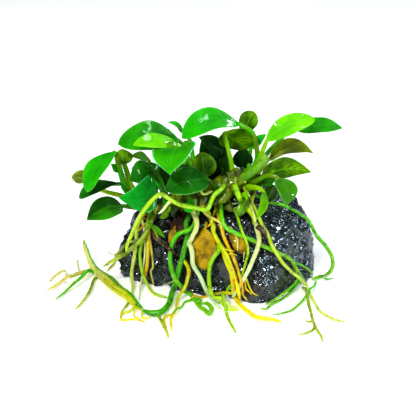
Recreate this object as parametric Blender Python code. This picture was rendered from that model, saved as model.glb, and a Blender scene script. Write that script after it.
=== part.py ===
"""Anubias on a stone: a knobby green rhizome on a dark porous stone, its leaves above and its roots below.

Metres, with Z up. The origin is on the ground, under the middle of the stone, and the front faces -Y.
Places are read in the front view, as (across, down) in its 416 pixel frame, and become places in space
where the line of sight meets the stone, the ground, or a stated depth. Sizes are in millimetres.
"""

import math
import random

import bmesh
import bpy
from mathutils import Vector, noise
from mathutils.bvhtree import BVHTree
from mathutils.kdtree import KDTree

MM = 0.001
OBJECT_NAME = "anubias_on_stone"

# Front view: its height above the ground line, its distance, and what one pixel measures at the stone
VIEW_ELEVATION = math.radians(25)
VIEW_DISTANCE = 480
PIXEL = 0.5
VIEW_CENTRE = (208, 208)
ORIGIN_IN_VIEW = (217, 275)

# Stone
STONE_CENTRE = Vector((0, 0, 18))
STONE_DETAIL = 6
STONE_TRIANGLES = 2620
STONE_SUNK = 6
STONE_STRETCH = (1.6, 1.1, 1)
STONE_REACH = 200
STONE_SMOOTHINGS = 3
SMALLEST_EDGE = 0.25
PIT_COUNT = 150
PIT_TRIES = 6000
PIT_SEED = 11
PIT_RADIUS = (2.0, 3.6)
PIT_SPACING = 0.9
PIT_DEPTH = 0.8
LUMP_HEIGHT = 1.4
LUMP_SIZE = 13
LUMP_FADE = 0.8
LUMP_SCALES = 3
LUMP_MIDDLE = 0.4

# Where the front of the stone meets the ground, in the front view
STONE_FOOT = [
    (122, 271), (135, 283), (159, 287), (186, 293), (221, 291), (233, 299),
    (246, 303), (277, 302), (286, 296), (297, 285), (309, 275),
]
# The stone's outline, in the front view, with the depth of each place
STONE_OUTLINE = [
    (113, 264, 2), (114, 250, 3), (120, 236, 4), (126, 222, 5), (130, 213, 6), (140, 206, 6),
    (165, 199, 8), (200, 191, 10), (240, 184, 12), (278, 184, 12), (297, 191, 8), (304, 203, 6),
    (309, 216, 5), (314, 238, 4), (318, 256, 2), (319, 266, 0),
]
# The seat that the rhizome lies on
STONE_SEAT = [(182, 210, -5), (206, 205, -3), (230, 196, 1), (252, 183, 7)]
# Corners of the front shoulder and of the back, which the view does not show
STONE_CORNERS = [
    (-31, -9, 27), (-9, -13, 34), (14, -16, 35), (34, -12, 31), (24, -31, 8), (-14, -19, 8),
    (-36, 20, 0), (-14, 30, 0), (20, 32, 0), (42, 20, 0), (-30, 22, 22), (0, 30, 28), (30, 24, 30),
]

# Gaps, and how finely routes are drawn
GAP = 0.35
CLEARANCE = 0.7
TINY = 0.001
ROUTE_STEP = 1.0
TUBE_STEP = 5.0
TRIM_REACH = 6
MOST_CROSSINGS = 12
CROSSING_STEP = 0.01

# How a root is lifted over what is under it
LIFTS = 6
SMALL_LIFT = 0.02
HUMP_REACH = 7.0
NEAR_STONE = 6

# Rhizome: route in the front view with depths, and its radii from left to right
RHIZOME_ROUTE = [(140, 207, 1), (160, 205, -3), (182, 201, -5), (206, 195, -3), (230, 187, 1), (252, 177, 7)]
RHIZOME_RADII = (2.6, 3.6, 4.2, 4.6, 5.4, 4.6, 3.2)
RHIZOME_KNOB = 0.13
RHIZOME_KNOB_LENGTH = 6.5
RHIZOME_STEP = 2.6
RHIZOME_SIDES = 8

# Leaves
STALK_RADIUS = 1.0
STALK_SIDES = 8
STALK_RINGS = 4
SMALL_STALK_RINGS = 3
BLADE_THICKNESS = 0.9
BLADE_EDGE = 0.35
BLADE_FULL = 1.5
BLADE_RINGS = (0.03, 0.15, 0.34, 0.56, 0.78, 0.94, 1.0)
SMALL_BLADE_RINGS = (0.04, 0.3, 0.62, 1.0)
SMALL_BLADE_WIDTH = 7.5
RING_PLACES = (1.0, 0.55, 0.0, -0.55, -1.0, -0.55, 0.0, 0.55)
RING_SIDES = (0, 1, 1, 1, 0, -1, -1, -1)


class Leaf:
    """One leaf: its stalk's route up to the blade, the blade's tip and width, and the way its face looks."""

    def __init__(self, stalk, tip, width, faces, arch=3, cup=0.1, sweep=0, belly=0.42, point=0.35):
        self.stalk = stalk
        self.tip = tip
        self.width = width
        self.faces = Vector(faces)
        self.arch = arch
        self.cup = cup
        self.sweep = sweep
        self.belly = belly
        self.point = point

    @property
    def small(self):
        """Whether the blade is drawn with fewer rings."""
        return self.width < SMALL_BLADE_WIDTH

    def half_width(self, t):
        """Half of the blade's width along its length, widest at its belly."""
        swell = math.sin(math.pi * max(t, 0.001) ** (math.log(0.5) / math.log(self.belly)))
        return self.width / 2 * max(swell, 0) ** (0.5 + self.point * t)


LEAVES = {
    "leaf_top_big": Leaf([(248, 178, 6), (257, 160, 9), (256, 145, 8), (252, 132, 5), (239, 124, 2)],
                         (182, 138, -10), 14.5, (-0.1, -0.55, 0.85), arch=4, sweep=3.5, belly=0.52,
                         point=0.05),
    "leaf_upper_left": Leaf([(172, 200, -3), (176, 180, 5), (182, 160, 8), (184, 147, 8), (178, 140, 5)],
                            (118, 144, -3), 20, (-0.15, -0.45, 0.87), arch=3, belly=0.48, point=0.12),
    "leaf_front_bright": Leaf([(180, 199, -5), (183, 172, -4), (184, 155, -6), (178, 146, -7)],
                              (133, 145, -15), 9.5, (0, -0.45, 0.9), arch=3, belly=0.5, point=0.15),
    "leaf_front_heart": Leaf([(190, 197, -5), (191, 172, -9), (187, 156, -13), (177, 148, -16)],
                             (170, 175, -30), 21, (-0.35, -0.6, 0.65), arch=2, belly=0.27, point=0.45),
    "leaf_rolled_young": Leaf([(194, 194, 2), (193, 160, 11), (189, 138, 11), (182, 131, 10)],
                              (168, 122, 9), 3.5, (0, -0.3, 1), arch=1, cup=0.5),
    "leaf_top_back": Leaf([(246, 178, 9), (246, 155, 19), (244, 142, 22), (242, 134, 23)],
                          (253, 111, 25), 9.5, (0.1, 1, 0.1), arch=-1, belly=0.6, point=0.05),
    "leaf_centre_veined": Leaf([(233, 184, 2), (232, 168, 1), (229, 153, 2), (224, 133, 5)],
                               (248, 149, 12), 17, (0.2, 0.95, 0.2), arch=1, belly=0.5, point=0.1),
    "leaf_right_bright": Leaf([(252, 176, 4), (258, 163, 2), (263, 150, 2), (267, 140, 3)],
                              (315, 119, 7), 10.5, (0.1, -0.65, 0.75), arch=2.5, sweep=-1.5, belly=0.5,
                              point=0.05),
    "leaf_right_far": Leaf([(254, 175, 11), (266, 155, 24), (282, 138, 29), (294, 127, 28)],
                           (342, 128, 22), 13, (0, -0.35, 0.93), arch=1, belly=0.45, point=0.3),
    "leaf_right_olive": Leaf([(256, 175, 9), (263, 166, 12), (269, 159, 13)],
                             (313, 153, 17), 11, (0, 0.9, 0.35), arch=2, sweep=4.5, point=0.4),
    "leaf_right_tip": Leaf([(253, 179, 6), (257, 180, 2), (262, 176, 1)],
                           (311, 172, -1), 12, (0.1, 0.95, 0.2), arch=2, sweep=2, point=0.35),
    "leaf_right_hanging": Leaf([(247, 184, 2), (256, 181, -5), (266, 176, -9), (273, 176, -11),
                                (279, 179, -12)],
                               (286, 206, -19), 11.5, (0.5, -0.8, 0.3), arch=2, sweep=-1.5, belly=0.4),
    "leaf_right_dark": Leaf([(252, 184, 1), (264, 184, -4), (274, 185, -5)],
                            (267, 203, -9), 7, (0.3, 0.9, 0.2), arch=1),
    "leaf_right_rim": Leaf([(248, 187, -5), (258, 188, -13), (264, 192, -16)],
                           (256, 219, -25), 5, (-0.7, -0.7, 0.1), arch=-3, cup=0.3),
    "leaf_small_right": Leaf([(250, 178, 8), (249, 160, 13), (251, 148, 13)],
                             (266, 134, 14), 5, (-0.2, -0.7, 0.6), arch=1),
    "leaf_left_drooping": Leaf([(142, 205, 1), (127, 190, 1), (120, 170, 0), (116, 152, -2)],
                               (87, 192, -16), 12.5, (-0.55, -0.6, 0.6), arch=4, belly=0.56, point=0.0),
    "leaf_left_behind": Leaf([(144, 205, 3), (122, 196, 5), (104, 191, 8), (92, 183, 9)],
                             (72, 176, 8), 13, (0.1, 0.8, 0.5), arch=1, belly=0.6, point=0.0),
    "leaf_left_underside": Leaf([(146, 204, 3), (131, 186, 5), (127, 172, 6), (124, 164, 6)],
                                (122, 149, 7), 9, (0.2, 0.9, 0.3), arch=1, point=0.1),
    "leaf_left_edge": Leaf([(142, 206, -2), (129, 195, -3), (121, 184, -3)],
                           (79, 198, -8), 11, (-0.1, -0.25, 1), arch=3, belly=0.68, point=0.1),
    "leaf_left_low": Leaf([(144, 208, -4), (131, 207, -8), (122, 206, -10)],
                          (87, 220, -17), 14, (0, -0.45, 0.9), arch=3, point=0.3),
    "leaf_emerald": Leaf([(166, 205, -6), (163, 192, -9), (153, 179, -9)],
                         (119, 198, -15), 14, (-0.1, -0.9, 0.4), arch=1, sweep=-6, belly=0.42, point=0.3),
    "leaf_folded": Leaf([(168, 204, 0), (166, 194, 5), (162, 184, 8)],
                        (131, 168, 8), 8.5, (-0.25, -0.5, 0.8), arch=7.5, belly=0.45),
    "leaf_inner_dark": Leaf([(164, 205, -5), (164, 190, -3), (160, 178, -2), (153, 169, -2)],
                            (130, 181, -5), 12, (0.2, -0.7, 0.7), arch=3, belly=0.35),
    "leaf_small_left": Leaf([(156, 203, -1), (154, 175, 9), (148, 159, 11)],
                            (131, 156, 9), 6, (0, -0.4, 0.9), arch=1),
    "leaf_centre_dark": Leaf([(218, 192, -6), (213, 184, -11), (207, 179, -13)],
                             (165, 191, -22), 15, (-0.2, -0.65, 0.7), arch=3, belly=0.45, point=0.25),
    "leaf_centre_olive": Leaf([(208, 193, 0), (206, 183, 1), (204, 177, 1)],
                              (202, 152, 3), 12.5, (0.1, 0.95, 0.3), arch=1, point=0.15),
    "leaf_shade_upper": Leaf([(218, 188, 4), (224, 166, 13), (223, 151, 14)],
                             (199, 137, 12), 9, (0, -0.6, 0.8), arch=1),
    "leaf_shade_lower": Leaf([(224, 186, 3), (222, 170, 9), (219, 160, 9)],
                             (209, 147, 8), 6.5, (0, -0.7, 0.6), arch=1),
}

# Dying leaves that lie on the front of the stone: stalk, tip, width and lift off the stone
OLD_LEAVES = {
    "old_leaf_amber": ([(207, 224), (206, 229)], (206, 269), 12, 2.4),
    "old_leaf_amber_right": ([(229, 233), (232, 237)], (246, 254), 5, 1.4),
    "old_leaf_brown": ([(180, 215), (180, 218)], (178, 242), 7, 1.8),
}
OLD_LEAF_ARCH = 0.7
OLD_LEAF_BELLY = 0.52
OLD_LEAF_POINT = 0.1
OLD_STALK_STEP = 3

# Cut stalk on the rhizome's right end
CUT_STALK = [(240, 180, -2), (250, 174, -4), (259, 166, -4), (266, 155, -4)]
CUT_STALK_RADIUS = 2.0
CUT_STALK_STEP = 4
CUT_STALK_SIDES = 8

# Each root: what it grows from, its radius from start to end, and its route in the front view.
# A place with no depth lies on the stone or the ground, and later roots pass over earlier ones.
ROOTS = {
    "root_left_pale": ("rhizome", (1.2, 0.8), [
        (150, 206, -6), (146, 216), (141, 226), (139, 241), (137, 256), (134, 273), (133, 286), (132, 295)]),
    "root_left_amber": ("rhizome", (1.1, 0.8), [
        (156, 205, -7), (153, 218), (151, 234), (150, 250), (149, 263), (147, 273), (145, 281), (139, 287)]),
    "root_left_lime": ("rhizome", (0.9, 0.7), [
        (152, 206, -7), (150, 222), (147, 234), (143, 246), (142, 256), (144, 272), (148, 281), (150, 289),
        (155, 294), (169, 298)]),
    "root_left_arm": ("rhizome", (1.1, 0.9), [
        (158, 205, -8), (154, 221), (148, 234), (142, 241), (135, 246), (128, 253), (120, 257, -12),
        (112, 261, -14), (103, 267, -16)]),
    "root_deep_green": ("rhizome", (1.3, 1.5), [
        (194, 200, -9), (192, 214), (188, 226), (187, 240), (184, 256), (180, 270), (177, 283), (175, 291),
        (171, 301), (165, 309), (158, 313), (150, 313), (143, 310)]),
    "root_mat": ("root_deep_green", (1.4, 2.5, 2.8, 2.9, 2.1, 1.2, 1.4), [
        (141, 309), (130, 300), (120, 293), (109, 283), (97, 273, -1), (90, 260, 4), (83, 240, 14)]),
    "root_mat_fork_yellow": ("root_mat", (1.2, 0.6), [
        (94, 270, 1), (88, 271, -2), (80, 273, -6), (72, 276, -10), (67, 277, -14), (62, 281),
        (53, 287), (46, 291)]),
    "root_mat_fork_green": ("root_mat", (0.9, 0.5), [
        (95, 273, -1), (88, 275, -5), (77, 281, -12), (66, 291), (55, 300)]),
    "root_mat_fork_low": ("root_mat", (0.9, 0.5), [
        (98, 276, -2), (94, 281, -7), (91, 288), (88, 294), (82, 302), (75, 310)]),
    "root_green_arc": ("rhizome", (1.1, 1.1), [
        (199, 199, -9), (198, 215), (195, 226), (189, 230), (181, 233), (175, 240), (172, 250), (172, 262),
        (176, 276), (183, 285), (190, 292), (195, 300), (200, 307), (205, 310), (209, 314), (212, 309),
        (207, 303), (202, 304)]),
    "root_yellow_strand": ("root_deep_green", (1.0, 0.6), [
        (184, 258), (190, 268), (189, 278), (186, 286), (178, 298), (176, 309), (171, 319), (172, 331)]),
    "root_white_middle": ("rhizome", (1.3, 1.0), [
        (196, 199, -10), (193, 208, -13), (194, 215), (198, 224), (198, 234), (192, 240), (193, 248),
        (195, 258), (199, 269), (203, 279), (209, 291), (214, 301), (220, 309)]),
    "root_amber": ("rhizome", (1.1, 0.8), [
        (214, 193, -9), (215, 204), (217, 213), (220, 222), (223, 232), (226, 241), (230, 249), (234, 258),
        (239, 270)]),
    "root_thick_yellow": ("rhizome", (1.2, 1.0), [
        (206, 198, -9), (206, 214), (209, 227), (214, 236), (219, 243), (224, 251), (228, 263), (232, 271),
        (234, 283), (235, 293), (238, 301), (242, 307), (249, 312), (256, 317), (271, 319), (282, 322)]),
    "root_bright_branch": ("root_thick_yellow", (1.1, 0.9), [
        (218, 245), (215, 255), (211, 263), (210, 275), (211, 286), (214, 295), (220, 303), (227, 309),
        (239, 310)]),
    "root_lime_tip": ("root_thick_yellow", (0.8, 0.7), [
        (231, 284), (226, 293), (223, 300), (223, 307), (227, 316), (231, 324), (236, 333)]),
    "root_tan": ("rhizome", (0.9, 0.7), [
        (202, 199, -11), (203, 210, -15), (211, 219), (221, 224), (228, 229), (233, 234), (237, 241),
        (238, 250)]),
    "root_long_right": ("rhizome", (1.1, 1.0), [
        (218, 192, -8), (221, 208), (222, 220), (226, 228), (236, 233), (245, 237), (253, 241), (261, 246),
        (270, 250), (278, 254), (287, 259), (292, 266), (296, 274), (302, 280)]),
    "root_lime_thin": ("rhizome", (0.7, 0.6), [
        (227, 189, -6), (229, 203), (233, 210), (237, 217), (240, 226), (244, 237), (246, 249), (245, 266),
        (241, 279)]),
    "root_pale_right": ("rhizome", (1.0, 0.7), [
        (244, 186, -3), (250, 202), (256, 215), (262, 228), (267, 235), (269, 242), (275, 253), (281, 264),
        (289, 272), (296, 277), (303, 284), (309, 292), (316, 305), (321, 312), (333, 319), (346, 322)]),
    "root_lime_thick": ("rhizome", (1.4, 1.3), [
        (234, 183, -3), (236, 189, -8), (239, 197, -11), (242, 205), (247, 211), (252, 218), (254, 226)]),
    "root_white_right": ("root_lime_thick", (1.2, 0.9), [
        (254, 224), (257, 234), (258, 242), (256, 251), (253, 260), (249, 270), (244, 279), (239, 288),
        (233, 295)]),
    "root_right_loop": ("rhizome", (0.7, 1.1), [
        (247, 189, 1), (257, 198), (268, 204), (280, 206), (291, 211), (305, 221), (317, 236, -6),
        (328, 249, -8), (333, 262, -12), (330, 272, -18), (321, 278), (308, 280)]),
    "root_thin_arc": ("root_right_loop", (0.6, 0.5), [
        (316, 281), (313, 289), (308, 296), (301, 302), (292, 310), (283, 313), (272, 315)]),
    "root_far_tip": ("root_pale_right", (0.8, 0.6), [
        (303, 287), (306, 297), (310, 309), (313, 321), (317, 330), (321, 336), (323, 342)]),
    "root_over_leaves": ("rhizome", (1.1, 0.9), [
        (224, 183, -2), (223, 188, -10), (215, 194, -13), (211, 202, -17), (207, 210, -20), (197, 208, -22),
        (181, 205, -24), (171, 200, -26), (162, 194, -27), (155, 197, -27), (148, 205, -27), (142, 213, -25),
        (137, 222, -21), (132, 234, -16), (128, 243, -12), (126, 252, -10)]),
}
THICK_ROOT = 1.25
THICK_ROOT_SIDES = 6
ROOT_SIDES = 4

# Colours, as red, green and blue, with a roughness
FINISHES = {
    "stone": ((0.02, 0.02, 0.022), 0.35),
    "rhizome": ((0.25, 0.42, 0.03), 0.45),
    "leaf": ((0.06, 0.42, 0.03), 0.25),
    "old_leaf": ((0.45, 0.25, 0.02), 0.4),
    "root": ((0.45, 0.6, 0.08), 0.5),
}

RIGHT = Vector((1, 0, 0))
FORWARD = Vector((0, math.cos(VIEW_ELEVATION), -math.sin(VIEW_ELEVATION)))
UP = Vector((0, math.sin(VIEW_ELEVATION), math.cos(VIEW_ELEVATION)))


def on_view_plane(across, down):
    """A place of the front view, on the plane through the origin that faces the eye."""
    return (RIGHT * (across - ORIGIN_IN_VIEW[0]) + UP * (ORIGIN_IN_VIEW[1] - down)) * PIXEL


EYE = on_view_plane(*VIEW_CENTRE) - FORWARD * VIEW_DISTANCE


def sight(across, down):
    """The direction of the line of sight through a place of the front view."""
    return (on_view_plane(across, down) - EYE).normalized()


def at_depth(across, down, depth):
    """Where the line of sight has this Y."""
    ray = sight(across, down)
    return EYE + ray * ((depth - EYE.y) / ray.y)


def at_height(across, down, height):
    """Where the line of sight has this Z."""
    ray = sight(across, down)
    return EYE + ray * ((height - EYE.z) / ray.z)


def clear_scene():
    """Takes out whatever the file starts with."""
    for thing in list(bpy.data.objects):
        bpy.data.objects.remove(thing, do_unlink=True)


def finish(name):
    """The material of one kind of piece."""
    if name in bpy.data.materials:
        return bpy.data.materials[name]
    colour, roughness = FINISHES[name]
    material = bpy.data.materials.new(name)
    material.use_nodes = True
    shader = material.node_tree.nodes["Principled BSDF"]
    shader.inputs["Base Color"].default_value = (*colour, 1)
    shader.inputs["Roughness"].default_value = roughness
    return material


def add_piece(name, data, material, collection):
    """Puts a mesh or curve in the scene as one named piece."""
    piece = bpy.data.objects.new(name, data)
    data.materials.append(finish(material))
    collection.objects.link(piece)
    return piece


def mesh_piece(name, bm, material, collection):
    """Makes a piece of a bmesh that is drawn in millimetres."""
    bmesh.ops.scale(bm, verts=bm.verts, vec=(MM, MM, MM))
    bmesh.ops.recalc_face_normals(bm, faces=bm.faces)
    mesh = bpy.data.meshes.new(name)
    bm.to_mesh(mesh)
    bm.free()
    mesh.shade_smooth()
    return add_piece(name, mesh, material, collection)


def stone_corners():
    """The corners of the stone as Vectors, with its foot sunk a little for the flat cut."""
    foot = [at_height(across, down, 0) for across, down in STONE_FOOT]
    corners = foot + [at_depth(*place) for place in STONE_OUTLINE + STONE_SEAT]
    corners += [Vector(corner) for corner in STONE_CORNERS]
    return [corner - Vector((0, 0, STONE_SUNK)) if corner.z < 1 else corner for corner in corners]


def rounded_stone():
    """The stone's main form: a fine ball drawn out to the hull of its corners, and smoothed."""
    hull = bmesh.new()
    for corner in stone_corners():
        hull.verts.new(corner)
    bmesh.ops.convex_hull(hull, input=hull.verts)
    faces = BVHTree.FromBMesh(hull)
    hull.free()
    bm = bmesh.new()
    bmesh.ops.create_icosphere(bm, subdivisions=STONE_DETAIL, radius=1)
    for vert in bm.verts:
        direction = Vector(value * factor for value, factor in zip(vert.co, STONE_STRETCH)).normalized()
        vert.co = faces.ray_cast(STONE_CENTRE + direction * STONE_REACH, -direction)[0]
    for _ in range(STONE_SMOOTHINGS):
        bmesh.ops.smooth_vert(bm, verts=bm.verts, factor=0.5, use_axis_x=True, use_axis_y=True,
                              use_axis_z=True)
    bmesh.ops.recalc_face_normals(bm, faces=bm.faces)
    bm.normal_update()
    return bm


def pit_places(bm, rng):
    """Centres and radii of the stone's pores, spread over its surface with room between them."""
    places = []
    verts = list(bm.verts)
    for _ in range(PIT_TRIES):
        centre = rng.choice(verts).co.copy()
        radius = rng.uniform(*PIT_RADIUS)
        if all((centre - other).length > PIT_SPACING * (radius + size) for other, size in places):
            places.append((centre, radius))
        if len(places) == PIT_COUNT:
            break
    return places


def pitted(bm):
    """Presses pores and lumps into the rounded stone."""
    places = pit_places(bm, random.Random(PIT_SEED))
    tree = KDTree(len(places))
    for index, (centre, _) in enumerate(places):
        tree.insert(centre, index)
    tree.balance()
    for vert in bm.verts:
        shift = LUMP_HEIGHT * (noise.fractal(vert.co / LUMP_SIZE, LUMP_FADE, 2, LUMP_SCALES) - LUMP_MIDDLE)
        _, index, distance = tree.find(vert.co)
        radius = places[index][1]
        if distance < radius:
            shift -= PIT_DEPTH * radius * (1 - (distance / radius) ** 2)
        vert.co += vert.normal * shift
    return bm


def build_stone(collection):
    """The stone with its pores, thinned, and cut flat on the ground. Returns its rounded form too."""
    bm = rounded_stone()
    skin = BVHTree.FromBMesh(bm)
    pitted(bm)
    fine = bpy.data.meshes.new("stone_fine")
    bm.to_mesh(fine)
    whole = len(bm.faces)
    bm.free()
    guide = bpy.data.objects.new("stone_fine", fine)
    collection.objects.link(guide)
    thin = guide.modifiers.new("thin", "DECIMATE")
    thin.ratio = STONE_TRIANGLES / whole
    mesh = bpy.data.meshes.new_from_object(guide.evaluated_get(bpy.context.evaluated_depsgraph_get()))
    bpy.data.objects.remove(guide, do_unlink=True)
    bm = bmesh.new()
    bm.from_mesh(mesh)
    everything = bm.verts[:] + bm.edges[:] + bm.faces[:]
    bmesh.ops.bisect_plane(bm, geom=everything, plane_no=(0, 0, 1), clear_inner=True, dist=TINY)
    bmesh.ops.remove_doubles(bm, verts=bm.verts, dist=SMALLEST_EDGE)
    bmesh.ops.holes_fill(bm, edges=[edge for edge in bm.edges if edge.is_boundary], sides=0)
    bmesh.ops.triangulate(bm, faces=bm.faces)
    bmesh.ops.recalc_face_normals(bm, faces=bm.faces)
    surface = BVHTree.FromBMesh(bm)
    mesh_piece("stone", bm, "stone", collection)
    return skin, surface


def between(values, share):
    """The value this share of the way along a row of values."""
    place = share * (len(values) - 1)
    index = min(int(place), len(values) - 2)
    return values[index] + (values[index + 1] - values[index]) * (place - index)


def smooth_route(points, step):
    """Points a step apart on a smooth curve through these points."""
    ends = [points[0] * 2 - points[1], *points, points[-1] * 2 - points[-2]]
    route = []
    for before, start, end, after in zip(ends, ends[1:], ends[2:], ends[3:]):
        count = max(1, round((end - start).length / step))
        for index in range(count):
            t = index / count
            route.append(0.5 * (2 * start + (end - before) * t
                                + (2 * before - 5 * start + 4 * end - after) * t * t
                                + (3 * start - before - 3 * end + after) * t ** 3))
    return route + [points[-1]]


def inside(surface, point):
    """Whether a point is inside a closed surface, from how often the way up from it meets the surface."""
    crossings, start = 0, point
    while crossings < MOST_CROSSINGS:
        hit = surface.ray_cast(start, Vector((0, 0, 1)))[0]
        if hit is None:
            break
        crossings += 1
        start = hit + Vector((0, 0, CROSSING_STEP))
    return crossings % 2 == 1


def distance_to(surface, point):
    """How far a point is outside a closed surface, and the way out."""
    nearest, normal, _, distance = surface.find_nearest(point)
    if distance < TINY:
        return 0, normal
    if inside(surface, point):
        return -distance, (nearest - point) / distance
    return distance, (point - nearest) / distance


class Ground:
    """What the roots lie on: the stone's rounded form, the old leaves on it, and the ground."""

    def __init__(self, skin, solid):
        self.skins = [skin]
        self.solids = [solid]
        self.laid = {}

    def place(self, point, lift):
        """A place of the front view, in space: on what the line of sight meets, or at its stated depth."""
        if len(point) == 3:
            return at_depth(*point)
        ray = sight(*point)
        hits = [skin.ray_cast(EYE, ray) for skin in self.skins]
        hits = [(hit[3], hit[0] + hit[1] * lift) for hit in hits if hit[0] is not None and hit[0].z > 0]
        return min(hits)[1] if hits else at_height(*point, lift)

    def lift_over(self, route, radii, source=""):
        """Lifts a route off the solids and over the roots laid before it, in long low humps."""
        laid = [self.laid[name] for name in self.laid if name != source]
        for _ in range(LIFTS):
            needed, ways = [], []
            for point, radius in zip(route, radii):
                most, way = radius + GAP - point.z, Vector((0, 0, 1))
                for solid in self.solids:
                    distance, normal = distance_to(solid, point)
                    if radius + CLEARANCE - distance > most:
                        most, way = radius + CLEARANCE - distance, normal
                toward = (EYE - point).normalized()
                over = toward if distance_to(self.skins[0], point)[0] < NEAR_STONE else Vector((0, 0, 1))
                for tree, sizes in laid:
                    place, index, distance = tree.find(point)
                    if radius + sizes[index] + CLEARANCE - distance > max(most, 0):
                        most, way = radius + sizes[index] + CLEARANCE - distance, over
                needed.append(max(most, 0))
                ways.append(way)
            if max(needed) < SMALL_LIFT:
                break
            reach = round(HUMP_REACH / ROUTE_STEP)
            for index, point in enumerate(list(route)):
                near = range(max(0, index - reach), min(len(route), index + reach + 1))
                push = max(near, key=lambda other: needed[other] * self.fade(index - other))
                amount = needed[push] * self.fade(index - push)
                route[index] = point + ways[push] * amount
        return route

    @staticmethod
    def fade(steps):
        """How much of a push is left this many steps along."""
        return math.cos(min(1, abs(steps) * ROUTE_STEP / HUMP_REACH) * math.pi / 2) ** 2

    def remember(self, name, route, radii):
        """Keeps a root that is laid, for the roots after it."""
        tree = KDTree(len(route))
        for index, point in enumerate(route):
            tree.insert(point, index)
        tree.balance()
        self.laid[name] = (tree, list(radii))


def trimmed(route, radii, surface):
    """Leaves off the start of a route where it is inside or against what it grows from."""
    start = 0
    for index, (point, radius) in enumerate(zip(route, radii)):
        if distance_to(surface, point)[0] < radius + GAP:
            start = index + 1
        elif index > start + TRIM_REACH:
            break
    return route[start:], radii[start:]


def thinned(route, radii, step):
    """A few points of a fine route, with its two ends."""
    count = min(max(2, round(len(route) * ROUTE_STEP / step)), len(route) - 1)
    picks = [round(index * (len(route) - 1) / count) for index in range(count + 1)]
    return [route[pick] for pick in picks], [radii[pick] for pick in picks]


def tube_piece(name, route, radii, sides, material, collection):
    """A tube along a route, whose radius changes on the way. Returns its surface."""
    curve = bpy.data.curves.new(name, "CURVE")
    curve.dimensions = "3D"
    curve.bevel_depth = MM
    curve.bevel_resolution = (sides - 4) // 2
    curve.use_fill_caps = True
    spline = curve.splines.new("POLY")
    spline.points.add(len(route) - 1)
    for knot, point, radius in zip(spline.points, route, radii):
        knot.co = (*(point * MM), 1)
        knot.radius = radius
    piece = add_piece(name, curve, material, collection)
    depsgraph = bpy.context.evaluated_depsgraph_get()
    bm = bmesh.new()
    mesh = bpy.data.meshes.new_from_object(piece.evaluated_get(depsgraph))
    bm.from_mesh(mesh)
    bpy.data.meshes.remove(mesh)
    bmesh.ops.scale(bm, verts=bm.verts, vec=(1 / MM, 1 / MM, 1 / MM))
    surface = BVHTree.FromBMesh(bm)
    bm.free()
    return surface


def build_rhizome(ground, collection):
    """The rhizome: a thick tube that swells and narrows like a row of old leaf scars."""
    route = smooth_route([at_depth(*place) for place in RHIZOME_ROUTE], ROUTE_STEP)
    radii = []
    for index in range(len(route)):
        knob = 1 + RHIZOME_KNOB * math.sin(2 * math.pi * index * ROUTE_STEP / RHIZOME_KNOB_LENGTH)
        radii.append(knob * between(RHIZOME_RADII, index / (len(route) - 1)))
    ground.lift_over(route, radii)
    route, radii = thinned(route, radii, RHIZOME_STEP)
    return tube_piece("rhizome", route, radii, RHIZOME_SIDES, "rhizome", collection)


def build_cut_stalk(rhizome, collection):
    """The stalk of a leaf that was cut off, on the rhizome's right end."""
    route = smooth_route([at_depth(*place) for place in CUT_STALK], ROUTE_STEP)
    route, radii = trimmed(route, [CUT_STALK_RADIUS] * len(route), rhizome)
    tube_piece("cut_stalk", *thinned(route, radii, CUT_STALK_STEP), CUT_STALK_SIDES, "rhizome", collection)


def loft(rings):
    """A closed skin over rings of points, drawn out from the first ring."""
    bm = bmesh.new()
    bmesh.ops.create_circle(bm, segments=len(rings[0]), radius=1, cap_ends=False)
    bm.verts.ensure_lookup_table()
    row = bm.verts[:]
    for vert, place in zip(row, rings[0]):
        vert.co = place
    edges = bm.edges[:]
    bmesh.ops.contextual_create(bm, geom=edges)
    for ring in rings[1:]:
        made = bmesh.ops.extrude_edge_only(bm, edges=edges)["geom"]
        edges = [item for item in made if isinstance(item, bmesh.types.BMEdge)]
        new = {item for item in made if isinstance(item, bmesh.types.BMVert)}
        row = [next(edge.other_vert(vert) for edge in vert.link_edges if edge.other_vert(vert) in new)
               for vert in row]
        for vert, place in zip(row, ring):
            vert.co = place
    bmesh.ops.contextual_create(bm, geom=edges)
    bmesh.ops.triangulate(bm, faces=bm.faces)
    bmesh.ops.recalc_face_normals(bm, faces=bm.faces)
    return bm


def leaf_rings(leaf, stalk, tip):
    """The rings of one leaf, from the foot of its stalk to its tip."""
    base = stalk[-1]
    along = (tip - base).normalized()
    facing = (leaf.faces - along * leaf.faces.dot(along)).normalized()
    side = along.cross(facing)
    blade = []
    for t in (SMALL_BLADE_RINGS if leaf.small else BLADE_RINGS):
        bow = 4 * t * (1 - t)
        centre = base.lerp(tip, t) + facing * leaf.arch * bow + side * leaf.sweep * bow
        half = max(leaf.half_width(t), BLADE_EDGE)
        thick = BLADE_THICKNESS / 2 * min(1, 0.5 + half / BLADE_FULL / 2)
        blade.append([centre + side * half * s + facing * (leaf.cup * half * s * s + thick * up)
                      for s, up in zip(RING_PLACES, RING_SIDES)])
    rings = []
    for index, point in enumerate(stalk[:-1]):
        ahead = stalk[index + 1] - stalk[max(index - 1, 0)]
        across = (side - ahead * side.dot(ahead) / ahead.length_squared).normalized()
        top = across.cross(ahead.normalized())
        rings.append([point + (across * math.cos(a) + top * math.sin(a)) * STALK_RADIUS
                      for a in (2 * math.pi * k / STALK_SIDES for k in range(STALK_SIDES))])
    return rings + blade


def build_leaf(name, leaf, rhizome, collection):
    """One leaf: blade and stalk grown as one piece, from the rhizome's skin up."""
    route = smooth_route([at_depth(*place) for place in leaf.stalk], ROUTE_STEP)
    route, radii = trimmed(route, [STALK_RADIUS] * len(route), rhizome)
    rings = SMALL_STALK_RINGS if leaf.small else STALK_RINGS
    route, _ = thinned(route, radii, len(route) * ROUTE_STEP / rings)
    mesh_piece(name, loft(leaf_rings(leaf, route, at_depth(*leaf.tip))), "leaf", collection)


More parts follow.
